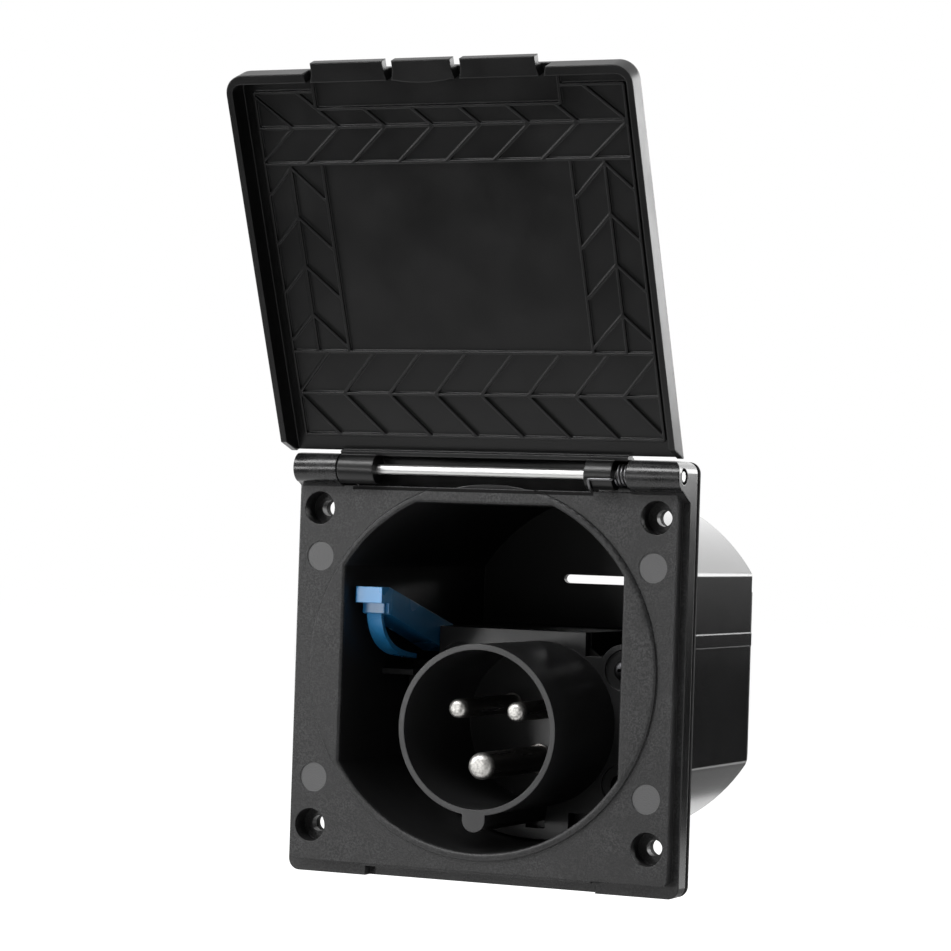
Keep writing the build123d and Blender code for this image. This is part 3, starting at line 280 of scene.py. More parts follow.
class InletColours(bpy.types.PropertyGroup):
    """Colours of the finishes and the stage."""

    front: colour_setting("Housing front", "Grained front of the housing", 0.006, 0.006, 0.0062)
    box: colour_setting("Housing box", "Smooth black of box, recess and rear cover", 0.0065, 0.0065, 0.0068)
    # Painted sheen: the ejector marks are painted paler, standing in for the sheen of their smooth faces
    mark: colour_setting("Ejector marks", "Paler marks on the front", 0.07, 0.07, 0.071)
    lid: colour_setting("Lid", "Satin black moulding", 0.0018, 0.0018, 0.0019)
    carrier: colour_setting("Pin carrier", "Insulating moulding round the pins", 0.015, 0.015, 0.0155)
    gland: colour_setting("Gland", "Smooth black of the cable gland", 0.012, 0.012, 0.0125)
    lever: colour_setting("Lever", "Blue release lever", 0.017, 0.165, 0.37)
    steel: colour_setting("Steel", "Hinge pin and terminal screws", 0.5, 0.5, 0.495)
    spring: colour_setting("Spring", "Oil-darkened spring wire", 0.1, 0.1, 0.103)
    screw: colour_setting("Screws", "Blackened screws and lever pin", 0.09, 0.09, 0.095)
    nickel: colour_setting("Nickel", "Plated domes of the contact pins", 0.5, 0.49, 0.47)
    # Painted shade and reflection: the pins' shanks are painted darker than their domes, for the dark shroud
    # that they mirror and the shade deep inside it
    shank: colour_setting("Pin shank", "Darker plating on the contact pins' length", 0.22, 0.21, 0.2)
    rubber: colour_setting("Rubber", "Gasket and seals", 0.012, 0.012, 0.012)
    backdrop: colour_setting("Backdrop", "Surroundings and the floor's glow", 1.0, 1.0, 1.0)


def new_material(name):
    """A node material with a Principled shader wired to its output."""
    material = bpy.data.materials.new(name)
    material.use_nodes = True
    tree = material.node_tree
    shader = next(node for node in tree.nodes if node.type == "BSDF_PRINCIPLED")
    return material, tree, shader


def object_place(tree):
    """The place in the object's own space."""
    coords = tree.nodes.new("ShaderNodeTexCoord")
    return coords.outputs["Object"]


def split_axes(tree, place):
    """A place as three numbers."""
    split = tree.nodes.new("ShaderNodeSeparateXYZ")
    tree.links.new(place, split.inputs["Vector"])
    return split.outputs


def add_noise(tree, scale, detail, stretch=EVEN):
    """Noise in the object's own space, so that it stays with the piece."""
    mapping = tree.nodes.new("ShaderNodeMapping")
    mapping.inputs["Scale"].default_value = stretch
    noise = tree.nodes.new("ShaderNodeTexNoise")
    noise.inputs["Scale"].default_value = scale
    noise.inputs["Detail"].default_value = detail
    tree.links.new(object_place(tree), mapping.inputs["Vector"])
    tree.links.new(mapping.outputs["Vector"], noise.inputs["Vector"])
    return noise.outputs["Fac"]


def zone(tree, measure, span, levels):
    """Ramp from one level to another while a measure crosses a span."""
    ramp = tree.nodes.new("ShaderNodeMapRange")
    ramp.inputs["From Min"].default_value = span[0]
    ramp.inputs["From Max"].default_value = span[1]
    ramp.inputs["To Min"].default_value = levels[0]
    ramp.inputs["To Max"].default_value = levels[1]
    tree.links.new(measure, ramp.inputs["Value"])
    return ramp.outputs["Result"]


def vary(tree, noise, socket, middle, uneven):
    """Drive a number on the shader a little below and above its middle."""
    levels = [middle + change for change in uneven]
    tree.links.new(zone(tree, noise, NOISE_SPAN, levels), socket)


def shade(colour, level):
    """A colour made darker or lighter."""
    return [min(1.0, channel * level) for channel in colour[:3]] + [1.0]


def tint(tree, noise, socket, colour, spread):
    """Shift a colour a little darker and lighter across the surface."""
    ramp = tree.nodes.new("ShaderNodeValToRGB")
    stops = ramp.color_ramp.elements
    for stop, position, level in zip(stops, NOISE_SPAN, (1 - spread, 1 + spread)):
        stop.color = shade(colour, level)
        stop.position = position
    tree.links.new(noise, ramp.inputs["Fac"])
    tree.links.new(ramp.outputs["Color"], socket)


def emboss(tree, height, socket, relief, rounding=0.0):
    """Turn a height into a shallow bump, on edges that are rounded if a radius is given."""
    bump = tree.nodes.new("ShaderNodeBump")
    bump.inputs["Strength"].default_value = relief
    bump.inputs["Distance"].default_value = BUMP_DEPTH
    tree.links.new(height, bump.inputs["Height"])
    if rounding:
        edges = tree.nodes.new("ShaderNodeBevel")
        edges.samples = 6
        edges.inputs["Radius"].default_value = rounding
        tree.links.new(edges.outputs["Normal"], bump.inputs["Normal"])
    tree.links.new(bump.outputs["Normal"], socket)


def combine(tree, operation, first, second=0.0):
    """Work out a number from one or two others, each a value or a socket."""
    node = tree.nodes.new("ShaderNodeMath")
    node.operation = operation
    for socket, value in zip(node.inputs, (first, second)):
        if isinstance(value, (int, float)):
            socket.default_value = value
        else:
            tree.links.new(value, socket)
    return node.outputs["Value"]


def above(tree, measure, limit):
    """One where a measure is over a limit, nought elsewhere."""
    return combine(tree, "GREATER_THAN", measure, limit)


def below(tree, measure, limit):
    """One where a measure is under a limit, nought elsewhere."""
    return combine(tree, "LESS_THAN", measure, limit)


def product(tree, first, second):
    """Two numbers multiplied, so that two zones leave what lies in both."""
    return combine(tree, "MULTIPLY", first, second)


def blend_colours(tree, factor, first, second):
    """Mix two colours, each a setting or a socket."""
    mix = tree.nodes.new("ShaderNodeMix")
    mix.data_type = "RGBA"
    tree.links.new(factor, mix.inputs["Factor"])
    for number, value in zip(MIX_COLOURS, (first, second)):
        if isinstance(value, bpy.types.NodeSocket):
            tree.links.new(value, mix.inputs[number])
        else:
            mix.inputs[number].default_value = value
    return mix.outputs[MIX_RESULT]


def distance_across(tree, place, centre_x, centre_z):
    """Distance from a line that runs from front to back."""
    flat = tree.nodes.new("ShaderNodeVectorMath")
    flat.operation = "MULTIPLY"
    flat.inputs[1].default_value = (1.0, 0.0, 1.0)
    reach = tree.nodes.new("ShaderNodeVectorMath")
    reach.operation = "DISTANCE"
    reach.inputs[1].default_value = (centre_x, 0.0, centre_z)
    tree.links.new(place, flat.inputs[0])
    tree.links.new(flat.outputs["Vector"], reach.inputs[0])
    return reach.outputs["Value"]


def moulded_plastic(name, colour, roughness, specular, grain, relief, rounding=0.0):
    """Black or coloured moulding with a fine grain and slightly uneven gloss."""
    material, tree, shader = new_material(name)
    shader.inputs["Specular IOR Level"].default_value = specular
    patches = add_noise(tree, PLASTIC_PATCH_SCALE, detail=3.0)
    tint(tree, patches, shader.inputs["Base Color"], colour, PLASTIC_TINT)
    vary(tree, patches, shader.inputs["Roughness"], roughness, PLASTIC_UNEVEN)
    grains = add_noise(tree, 1.0 / grain, detail=2.0)
    emboss(tree, grains, shader.inputs["Normal"], relief, rounding)
    return material


def ejector_marks(tree, place, sizes):
    """One inside the four round ejector marks on the front, nought elsewhere."""
    fold = tree.nodes.new("ShaderNodeVectorMath")
    fold.operation = "ABSOLUTE"
    tree.links.new(place, fold.inputs[0])
    reach = distance_across(tree, fold.outputs["Vector"], sizes.mark_x, sizes.mark_z)
    return below(tree, reach, sizes.mark_radius)


def hinge_painted_shade(tree, axes, sizes):
    """One on the strip under and behind the hinge that is painted black as shade, nought on its bright edge
    and elsewhere.
    """
    height = axes["Z"]
    along = combine(tree, "ABSOLUTE", combine(tree, "SUBTRACT", axes["X"], sizes.shade_strip_x))
    edge = combine(tree, "ABSOLUTE", combine(tree, "SUBTRACT", height, sizes.edge_z))
    band = product(tree, above(tree, height, sizes.shade_strip_low), below(tree, height, sizes.shade_strip_high))
    inner = product(tree, below(tree, along, sizes.shade_strip_half), above(tree, edge, sizes.edge_half))
    return product(tree, band, inner)


def housing_zones(tree, sizes):
    """Where the housing is smooth, which part of that is the recess, and what the grained front holds."""
    place = object_place(tree)
    axes = split_axes(tree, place)
    across = combine(tree, "ABSOLUTE", axes["X"])
    reach = distance_across(tree, place, 0.0, sizes.rim_z)
    deep = zone(tree, axes["Y"], (sizes.grain_end, sizes.grain_end + GRAIN_FADE), NONE_TO_ALL)
    smooth = product(tree, deep, below(tree, reach, sizes.rim_radius))
    smooth = combine(tree, "MAXIMUM", smooth, above(tree, axes["Y"], 0.0))
    smooth = combine(tree, "MAXIMUM", smooth, above(tree, across, sizes.side_x))
    walled = product(tree, below(tree, reach, sizes.wall_radius), below(tree, across, sizes.wall_x))
    front = combine(tree, "SUBTRACT", 1.0, smooth)
    return {
        "smooth": smooth,
        "recess": product(tree, walled, smooth),
        "front": front,
        "ears": product(tree, above(tree, axes["Z"], sizes.ear_z), front),
        # Painted sheen: the ejector marks, which are painted paler
        "marks": product(tree, ejector_marks(tree, place, sizes), front),
        # Painted shade: the strip under and behind the hinge
        "hinge_shade": product(tree, hinge_painted_shade(tree, axes, sizes), front),
    }


def housing_plastic(colours, sizes):
    """Black moulding: grained and matt on the front, glossy on the box, satin in the recess, with painted
    shade behind the hinge and ejector marks painted paler for their sheen.
    """
    material, tree, shader = new_material("housing_black")
    shader.inputs["Specular IOR Level"].default_value = HOUSING_SPECULAR
    zones = housing_zones(tree, sizes)
    grain = add_noise(tree, 1.0 / sizes.grain, detail=2.0)
    patches = add_noise(tree, HOUSING_PATCH_SCALE, HOUSING_PATCH_DETAIL)

    specks = product(tree, zone(tree, grain, SPECK_SPAN, NONE_TO_ALL),
                     zone(tree, patches, HOUSING_PATCH_SPAN, SPECK_SHARE))
    skin = blend_colours(tree, specks, colours.front, shade(colours.front, SPECK_LEVEL))
    # Painted sheen: the ejector marks are painted paler for the sheen of their smooth faces
    skin = blend_colours(tree, zones["marks"], skin, colours.mark)
    # Painted shade: the strip under and behind the hinge is painted black for the shadow of the lid and hinge
    # pin and a groove's shade
    skin = blend_colours(tree, zones["hinge_shade"], skin, BLACK)
    skin = blend_colours(tree, zones["smooth"], skin, colours.box)
    tree.links.new(skin, shader.inputs["Base Color"])

    matt = zone(tree, zones["smooth"], NONE_TO_ALL, (FRONT_ROUGHNESS, SMOOTH_ROUGHNESS))
    for part, change in ROUGHNESS_CHANGES.items():
        matt = combine(tree, "ADD", matt, product(tree, zones[part], change))
    uneven = product(tree, zone(tree, patches, HOUSING_PATCH_SPAN, HOUSING_UNEVEN),
                     zone(tree, zones["smooth"], NONE_TO_ALL, (1.0, HOUSING_SMOOTH_UNEVEN)))
    tree.links.new(combine(tree, "ADD", matt, uneven), shader.inputs["Roughness"])

    grained = combine(tree, "SUBTRACT", zones["front"], zones["ears"])
    emboss(tree, product(tree, grain, grained), shader.inputs["Normal"], GRAIN_RELIEF, sizes.housing_round)
    return material


def drawn_metal(name, colour, roughness, stretch):
    """Metal with fine lines, or with an even fine grain."""
    material, tree, shader = new_material(name)
    shader.inputs["Metallic"].default_value = 1.0
    lines = add_noise(tree, METAL_LINE_SCALE, detail=3.0, stretch=stretch)
    tint(tree, lines, shader.inputs["Base Color"], colour, METAL_TINT)
    vary(tree, lines, shader.inputs["Roughness"], roughness, METAL_UNEVEN)
    emboss(tree, lines, shader.inputs["Normal"], METAL_RELIEF)
    return material


def contact_nickel(name, colours, sizes):
    """Plated contact pin: a worn satin dome on a polished shank, the shank's darker colour being painted
    shade and reflection of the dark shroud.
    """
    material, tree, shader = new_material(name + "_nickel")
    shader.inputs["Metallic"].default_value = 1.0
    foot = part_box(name)[0][1] + sizes.pin_dome
    depth = split_axes(tree, object_place(tree))["Y"]
    shank = zone(tree, depth, (foot - DOME_FADE, foot + DOME_FADE), NONE_TO_ALL)
    lines = add_noise(tree, METAL_LINE_SCALE, detail=3.0, stretch=LINES_ALONG_Y)
    worn = zone(tree, add_noise(tree, WORN_SCALE, detail=3.0), WORN_SPAN, NONE_TO_ALL)
    dome = blend_colours(tree, worn, shade(colours.nickel, WORN_LEVEL), colours.nickel)
    # Painted shade and reflection: the shank is painted darker for the dark shroud that it mirrors
    tree.links.new(blend_colours(tree, shank, dome, colours.shank), shader.inputs["Base Color"])
    shine = zone(tree, shank, NONE_TO_ALL, (DOME_ROUGHNESS, SHANK_ROUGHNESS))
    streaks = zone(tree, lines, NOISE_SPAN, PIN_UNEVEN)
    tree.links.new(combine(tree, "ADD", shine, streaks), shader.inputs["Roughness"])
    emboss(tree, lines, shader.inputs["Normal"], METAL_RELIEF)
    return material


def soft_rubber(name, colour):
    """Matt black rubber."""
    material, tree, shader = new_material(name)
    shader.inputs["Specular IOR Level"].default_value = RUBBER_SPECULAR
    skin = add_noise(tree, RUBBER_SCALE, detail=2.0)
    tint(tree, skin, shader.inputs["Base Color"], colour, RUBBER_TINT)
    vary(tree, skin, shader.inputs["Roughness"], RUBBER_ROUGHNESS, RUBBER_UNEVEN)
    emboss(tree, skin, shader.inputs["Normal"], RUBBER_RELIEF)
    return material


def finish_node(name, material, rounding=0.0):
    """Give a CAD node its material, smooth curves and, where a radius is given, rounded edges."""
    node = NODES[name]
    node.data.materials.clear()
    node.data.materials.append(material)
    weld = node.modifiers.new("weld", "WELD")
    weld.merge_threshold = WELD_GAP
    if rounding:
        flats = node.modifiers.new("flats", "DECIMATE")
        flats.decimate_type = "DISSOLVE"
        flats.angle_limit = FLAT_ANGLE
        bevel = node.modifiers.new("edges", "BEVEL")
        bevel.width = rounding
        bevel.segments = 2
        bevel.limit_method = "ANGLE"
        bevel.angle_limit = BEVEL_ANGLE
        bevel.use_clamp_overlap = False
    else:
        corners = node.modifiers.new("corners", "EDGE_SPLIT")
        corners.split_angle = SHARP_ANGLE
    node.modifiers.new("normals", "WEIGHTED_NORMAL")
    node.data.shade_smooth()


def new_piece(name, mesh, material):
    """A piece of the inlet with its finish."""
    mesh.materials.clear()
    mesh.materials.append(material)
    mesh.shade_smooth()
    piece = bpy.data.objects.new(name, mesh)
    bpy.context.scene.collection.objects.link(piece)
    return piece


class INLET_OT_mouldings(bpy.types.Operator):
    """Finish the housing, rear cover and pin carrier as black mouldings"""

    bl_idname = "inlet.mouldings"
    bl_label = "Mouldings"

    def execute(self, context):
        sizes = context.scene.inlet_sizes
        colours = context.scene.inlet_colours
        finish_node("housing", housing_plastic(colours, sizes))
        cover = moulded_plastic(
            "cover_black", colours.box, roughness=0.26, specular=0.3, grain=sizes.grain, relief=0.1)
        finish_node("rear_cover", cover, sizes.edge_round)
        carrier = moulded_plastic(
            "carrier_black", colours.carrier, roughness=0.34, specular=0.34, grain=sizes.grain, relief=0.15,
            rounding=sizes.housing_round)
        finish_node("pin_carrier", carrier)
        return {"FINISHED"}


class INLET_OT_lid(bpy.types.Operator):
    """Finish the hinged lid in satin black"""

    bl_idname = "inlet.lid"
    bl_label = "Lid"

    def execute(self, context):
        sizes = context.scene.inlet_sizes
        skin = moulded_plastic(
            "lid_black", context.scene.inlet_colours.lid, roughness=0.33, specular=0.3, grain=sizes.grain,
            relief=0.2, rounding=sizes.rib_round)
        finish_node("lid", skin)
        return {"FINISHED"}


class INLET_OT_lever(bpy.types.Operator):
    """Finish the blue release lever"""

    bl_idname = "inlet.lever"
    bl_label = "Release lever"

    def execute(self, context):
        sizes = context.scene.inlet_sizes
        blue = moulded_plastic(
            "lever_blue", context.scene.inlet_colours.lever, roughness=0.26, specular=0.5, grain=sizes.grain,
            relief=0.08, rounding=sizes.housing_round)
        finish_node("release_lever", blue)
        return {"FINISHED"}


def hinge_point():
    """Where the lid's hinge axis is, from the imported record."""
    joints = frame["record"]["behaviour"]["joints"]
    return next(joint["pos_m"] for joint in joints if joint["child"] == "lid")


def spring_turn(sizes):
    """Angle that the wire goes round in the coil, from the lid leg to straight down."""
    return 2 * math.pi * sizes.coil_turns + math.pi / 2 - sizes.leg_angle


def spring_route(sizes, axis, hook_x, coil_x, wall_x, wall_y):
    """Points along the spring's wire: hook round the knuckle, leg, coil and foot on the flange."""

    def around(x, radius, angle):
        """A point round the hinge axis, at an angle that runs from the front downwards."""
        return Vector((x, axis.y - radius * math.cos(angle), axis.z - radius * math.sin(angle)))

    leg = sizes.leg_angle
    bend = 2 * sizes.wire_radius
    route = []
    for k in range(HOOK_STEPS + 1):
        route.append(around(hook_x, sizes.hook_radius, leg + sizes.hook_angle * (1 - k / HOOK_STEPS)))
    for x in (hook_x + bend, coil_x - bend, coil_x):
        route.append(around(x, sizes.hook_radius, leg))
    steps = COIL_STEPS * sizes.coil_turns + LAST_TURN_STEPS
    for k in range(steps + 1):
        share = k / steps
        x = coil_x + share * (wall_x - coil_x)
        route.append(around(x, sizes.coil_radius, leg + share * spring_turn(sizes)))
    foot = around(wall_x, sizes.coil_radius, math.pi / 2)
    for y in (wall_y - sizes.wire_radius, wall_y):
        route.append(Vector((wall_x, y, foot.z)))
    return route


def wire_mesh(name, route, radius):
    """Round wire along a smooth line near the points of a route."""
    curve = bpy.data.curves.new(name, "CURVE")
    curve.dimensions = "3D"
    curve.bevel_depth = radius
    curve.bevel_resolution = 3
    curve.use_fill_caps = True
    curve.resolution_u = 4
    line = curve.splines.new("NURBS")
    line.points.add(len(route) - 1)
    for point, place in zip(line.points, route):
        point.co = (*place, 1.0)
    line.order_u = 3
    line.use_endpoint_u = True
    holder = bpy.data.objects.new(name, curve)
    mesh = bpy.data.meshes.new_from_object(holder)
    bpy.data.objects.remove(holder)
    bpy.data.curves.remove(curve)
    return mesh


class INLET_OT_spring(bpy.types.Operator):
    """Wind the lid's torsion spring from round wire, hooked on the lid's knuckle and leaning on the flange"""

    bl_idname = "inlet.spring"
    bl_label = "Lid spring"

    def execute(self, context):
        sizes = context.scene.inlet_sizes
        low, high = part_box("lid_spring")
        axis = Vector(hinge_point())
        hook_x = low[0] + sizes.wire_radius
        wall_x = high[0] - sizes.wire_radius
        coil_x = wall_x - sizes.coil_pitch * spring_turn(sizes) / (2 * math.pi)
        route = spring_route(sizes, axis, hook_x, coil_x, wall_x, high[1])
        wire = wire_mesh("torsion_spring", route, sizes.wire_radius)
        steel = drawn_metal("spring_steel", context.scene.inlet_colours.spring, roughness=0.34, stretch=EVEN)
        spring = new_piece("torsion_spring", wire, steel)
        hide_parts("lid_spring")
        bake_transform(spring)
        return {"FINISHED"}


def loose_boxes(name):
    """Lowest and highest corner of each separate solid in a CAD node."""
    shape = bmesh.new()
    shape.from_mesh(NODES[name].data)
    bmesh.ops.remove_doubles(shape, verts=shape.verts, dist=SEAM_GAP)
    waiting = set(shape.verts)
    boxes = []
    while waiting:
        open_ends = [waiting.pop()]
        group = []
        while open_ends:
            vert = open_ends.pop()
            group.append(vert.co.copy())
            for edge in vert.link_edges:
                other = edge.other_vert(vert)
                if other in waiting:
                    waiting.remove(other)
                    open_ends.append(other)
        boxes.append(([min(axis) for axis in zip(*group)], [max(axis) for axis in zip(*group)]))
    shape.free()
    return sorted(boxes)


def closed_mesh(name, shape):
    """A mesh from a finished shape, its faces turned outwards."""
    bmesh.ops.recalc_face_normals(shape, faces=shape.faces)
    mesh = bpy.data.meshes.new(name)
    shape.to_mesh(mesh)
    shape.free()
    return mesh


def spun_mesh(name, outline, sides):
    """A closed body turned round Z from an outline of radius and height."""
    shape = bmesh.new()
    rings = []
    for radius, height in outline:
        count = sides if radius > 0 else 1
        turns = [2 * math.pi * k / sides for k in range(count)]
        rings.append([shape.verts.new((radius * math.cos(t), radius * math.sin(t), height)) for t in turns])
    for low, high in zip(rings, rings[1:]):
        for k in range(sides):
            places = ((low, k), (low, k + 1), (high, k + 1), (high, k))
            corners = [ring[place % len(ring)] for ring, place in places]
            shape.faces.new(dict.fromkeys(corners))
    return closed_mesh(name, shape)


def cross_cutter(name, reach, width, top, floor):
    """Two crossing blades, narrower at the bottom, that cut a driving recess."""
    shape = bmesh.new()
    for swap in (False, True):
        corners = []
        for height, share in ((floor, CROSS_TAPER), (top, 1.0)):
            for x, y in BLADE_CORNERS:
                long = x * reach * share
                short = y * width / 2
                corners.append((short, long, height) if swap else (long, short, height))
        verts = [shape.verts.new(corner) for corner in corners]
        for face in BLADE_FACES:
            shape.faces.new([verts[k] for k in face])
    return closed_mesh(name, shape)


def screw_outline(sizes, shank):
    """Half section of a pan-head screw, from its tip to the top of its head, its seat at nought."""
    head = sizes.screw_head
    height = sizes.screw_head_height
    pitch = sizes.thread_pitch
    outline = [(0.0, -shank), (sizes.screw_core, -shank)]
    for k in range(int((shank - pitch) / pitch)):
        foot = -shank + k * pitch
        outline += [(sizes.screw_core, foot + THREAD_FOOT * pitch),
                    (sizes.screw_thread, foot + THREAD_CREST * pitch),
                    (sizes.screw_core, foot + THREAD_END * pitch)]
    outline += [(sizes.screw_core, 0.0), (head, 0.0), (head, HEAD_RIM * height)]
    for k in range(1, HEAD_DOME_STEPS):
        angle = math.pi / 2 * k / HEAD_DOME_STEPS
        outline.append((head * math.cos(angle), height * (HEAD_RIM + (1 - HEAD_RIM) * math.sin(angle))))
    return outline + [(0.0, height)]


def screw_mesh(name, sizes, shank):
    """A pan-head screw with a cross recess, head up, its seat at nought."""
    head = sizes.screw_head
    height = sizes.screw_head_height
    body = bpy.data.objects.new(name, spun_mesh(name, screw_outline(sizes, shank), SCREW_SIDES))
    blades = cross_cutter(name + "_blades", CROSS_REACH * head, CROSS_WIDTH * head, CROSS_TOP * height,
                          CROSS_FLOOR * height)
    cutter = bpy.data.objects.new(name + "_blades", blades)
    for part in (body, cutter):
        bpy.context.scene.collection.objects.link(part)
    cut = body.modifiers.new("recess", "BOOLEAN")
    cut.operation = "DIFFERENCE"
    cut.object = cutter
    cut.solver = "EXACT"
    cut.use_self = True
    seen = body.evaluated_get(bpy.context.evaluated_depsgraph_get())
    mesh = bpy.data.meshes.new_from_object(seen)
    for part in (body, cutter):
        bpy.data.objects.remove(part)
    return mesh


class INLET_OT_screws(bpy.types.Operator):
    """Make the carrier screws and rear cover screws with threads and cross recesses"""

    bl_idname = "inlet.screws"
    bl_label = "Screws"

    def execute(self, context):
        sizes = context.scene.inlet_sizes
        black = drawn_metal("screw_black", context.scene.inlet_colours.screw, roughness=0.34, stretch=EVEN)
        for node, facing in (("carrier_screws", -1), ("rear_cover_screws", 1)):
            piece = new_piece("cross_" + node, self.screw_group(node, facing, sizes), black)
            piece.data.set_sharp_from_angle(angle=SHARP_ANGLE)
            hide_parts(node)
            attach(piece, "housing")
        return {"FINISHED"}

    def screw_group(self, node, facing, sizes):
        """One mesh with a screw in the place of each solid of a CAD node, heads to the front or the back."""
        group = bmesh.new()
        for low, high in loose_boxes(node):
            shank = high[1] - low[1] - sizes.screw_head_height
            seat = low[1] + sizes.screw_head_height if facing < 0 else high[1] - sizes.screw_head_height
            single = screw_mesh(node, sizes, shank)
            place = Matrix.Translation(((low[0] + high[0]) / 2, seat, (low[2] + high[2]) / 2))
            single.transform(place @ Matrix.Rotation(-facing * math.pi / 2, 4, "X"))
            group.from_mesh(single)
        mesh = bpy.data.meshes.new(node)
        group.to_mesh(mesh)
        group.free()
        return mesh


class INLET_OT_metalwork(bpy.types.Operator):
    """Finish hinge pin, lever pin, terminal screws and contact pins"""

    bl_idname = "inlet.metalwork"
    bl_label = "Metalwork"

    def execute(self, context):
        sizes = context.scene.inlet_sizes
        colours = context.scene.inlet_colours
        rod = drawn_metal("rod_steel", colours.steel, roughness=0.4, stretch=LINES_ALONG_X)
        dark = drawn_metal("pivot_steel", colours.screw, roughness=0.5, stretch=LINES_ALONG_X)
        finish_node("hinge_pin", rod)
        finish_node("lever_pin", dark)
        finish_node("terminal_screws", rod)
        for name in ("live_pin", "neutral_pin", "earth_pin"):
            finish_node(name, contact_nickel(name, colours, sizes))
        return {"FINISHED"}


class INLET_OT_seals(bpy.types.Operator):
    """Finish gasket, seals and cable gland"""

    bl_idname = "inlet.seals"
    bl_label = "Seals and gland"

    def execute(self, context):
        sizes = context.scene.inlet_sizes
        colours = context.scene.inlet_colours
        rubber = soft_rubber("seal_rubber", colours.rubber)
        gland = moulded_plastic(
            "gland_black", colours.gland, roughness=0.33, specular=0.4, grain=sizes.grain, relief=0.1)
        for name in ("wall_gasket", "carrier_seal", "rear_cover_seal", "gland_seal"):
            finish_node(name, rubber, sizes.edge_round)
        for name in ("gland_body", "gland_locknut", "gland_nut"):
            finish_node(name, gland, sizes.edge_round)
        return {"FINISHED"}


def soft_lamp(name, place, aim, width, height, radiance):
    """A rectangular softbox of a given brightness, aimed at a point and not seen by the camera."""
    lamp = bpy.data.lights.new(name, "AREA")
    lamp.shape = "RECTANGLE"
    lamp.size = width
    lamp.size_y = height
    lamp.energy = radiance * math.pi * width * height
    holder = bpy.data.objects.new(name, lamp)
    bpy.context.scene.collection.objects.link(holder)
    holder.location = place
    holder.rotation_euler = (Vector(aim) - Vector(place)).to_track_quat("-Z", "Y").to_euler()
    holder.visible_camera = False


def flat_sheet(name, low, high, material):
    """A rectangle between two opposite corners, lying flat or standing across the back."""
    corners = [low, (high[0], low[1], low[2]), high, (low[0], high[1], high[2])]
    mesh = bpy.data.meshes.new(name)
    mesh.from_pydata(corners, [], [(0, 1, 2, 3)])
    mesh.materials.append(material)
    sheet = bpy.data.objects.new(name, mesh)
    bpy.context.scene.collection.objects.link(sheet)
    return sheet


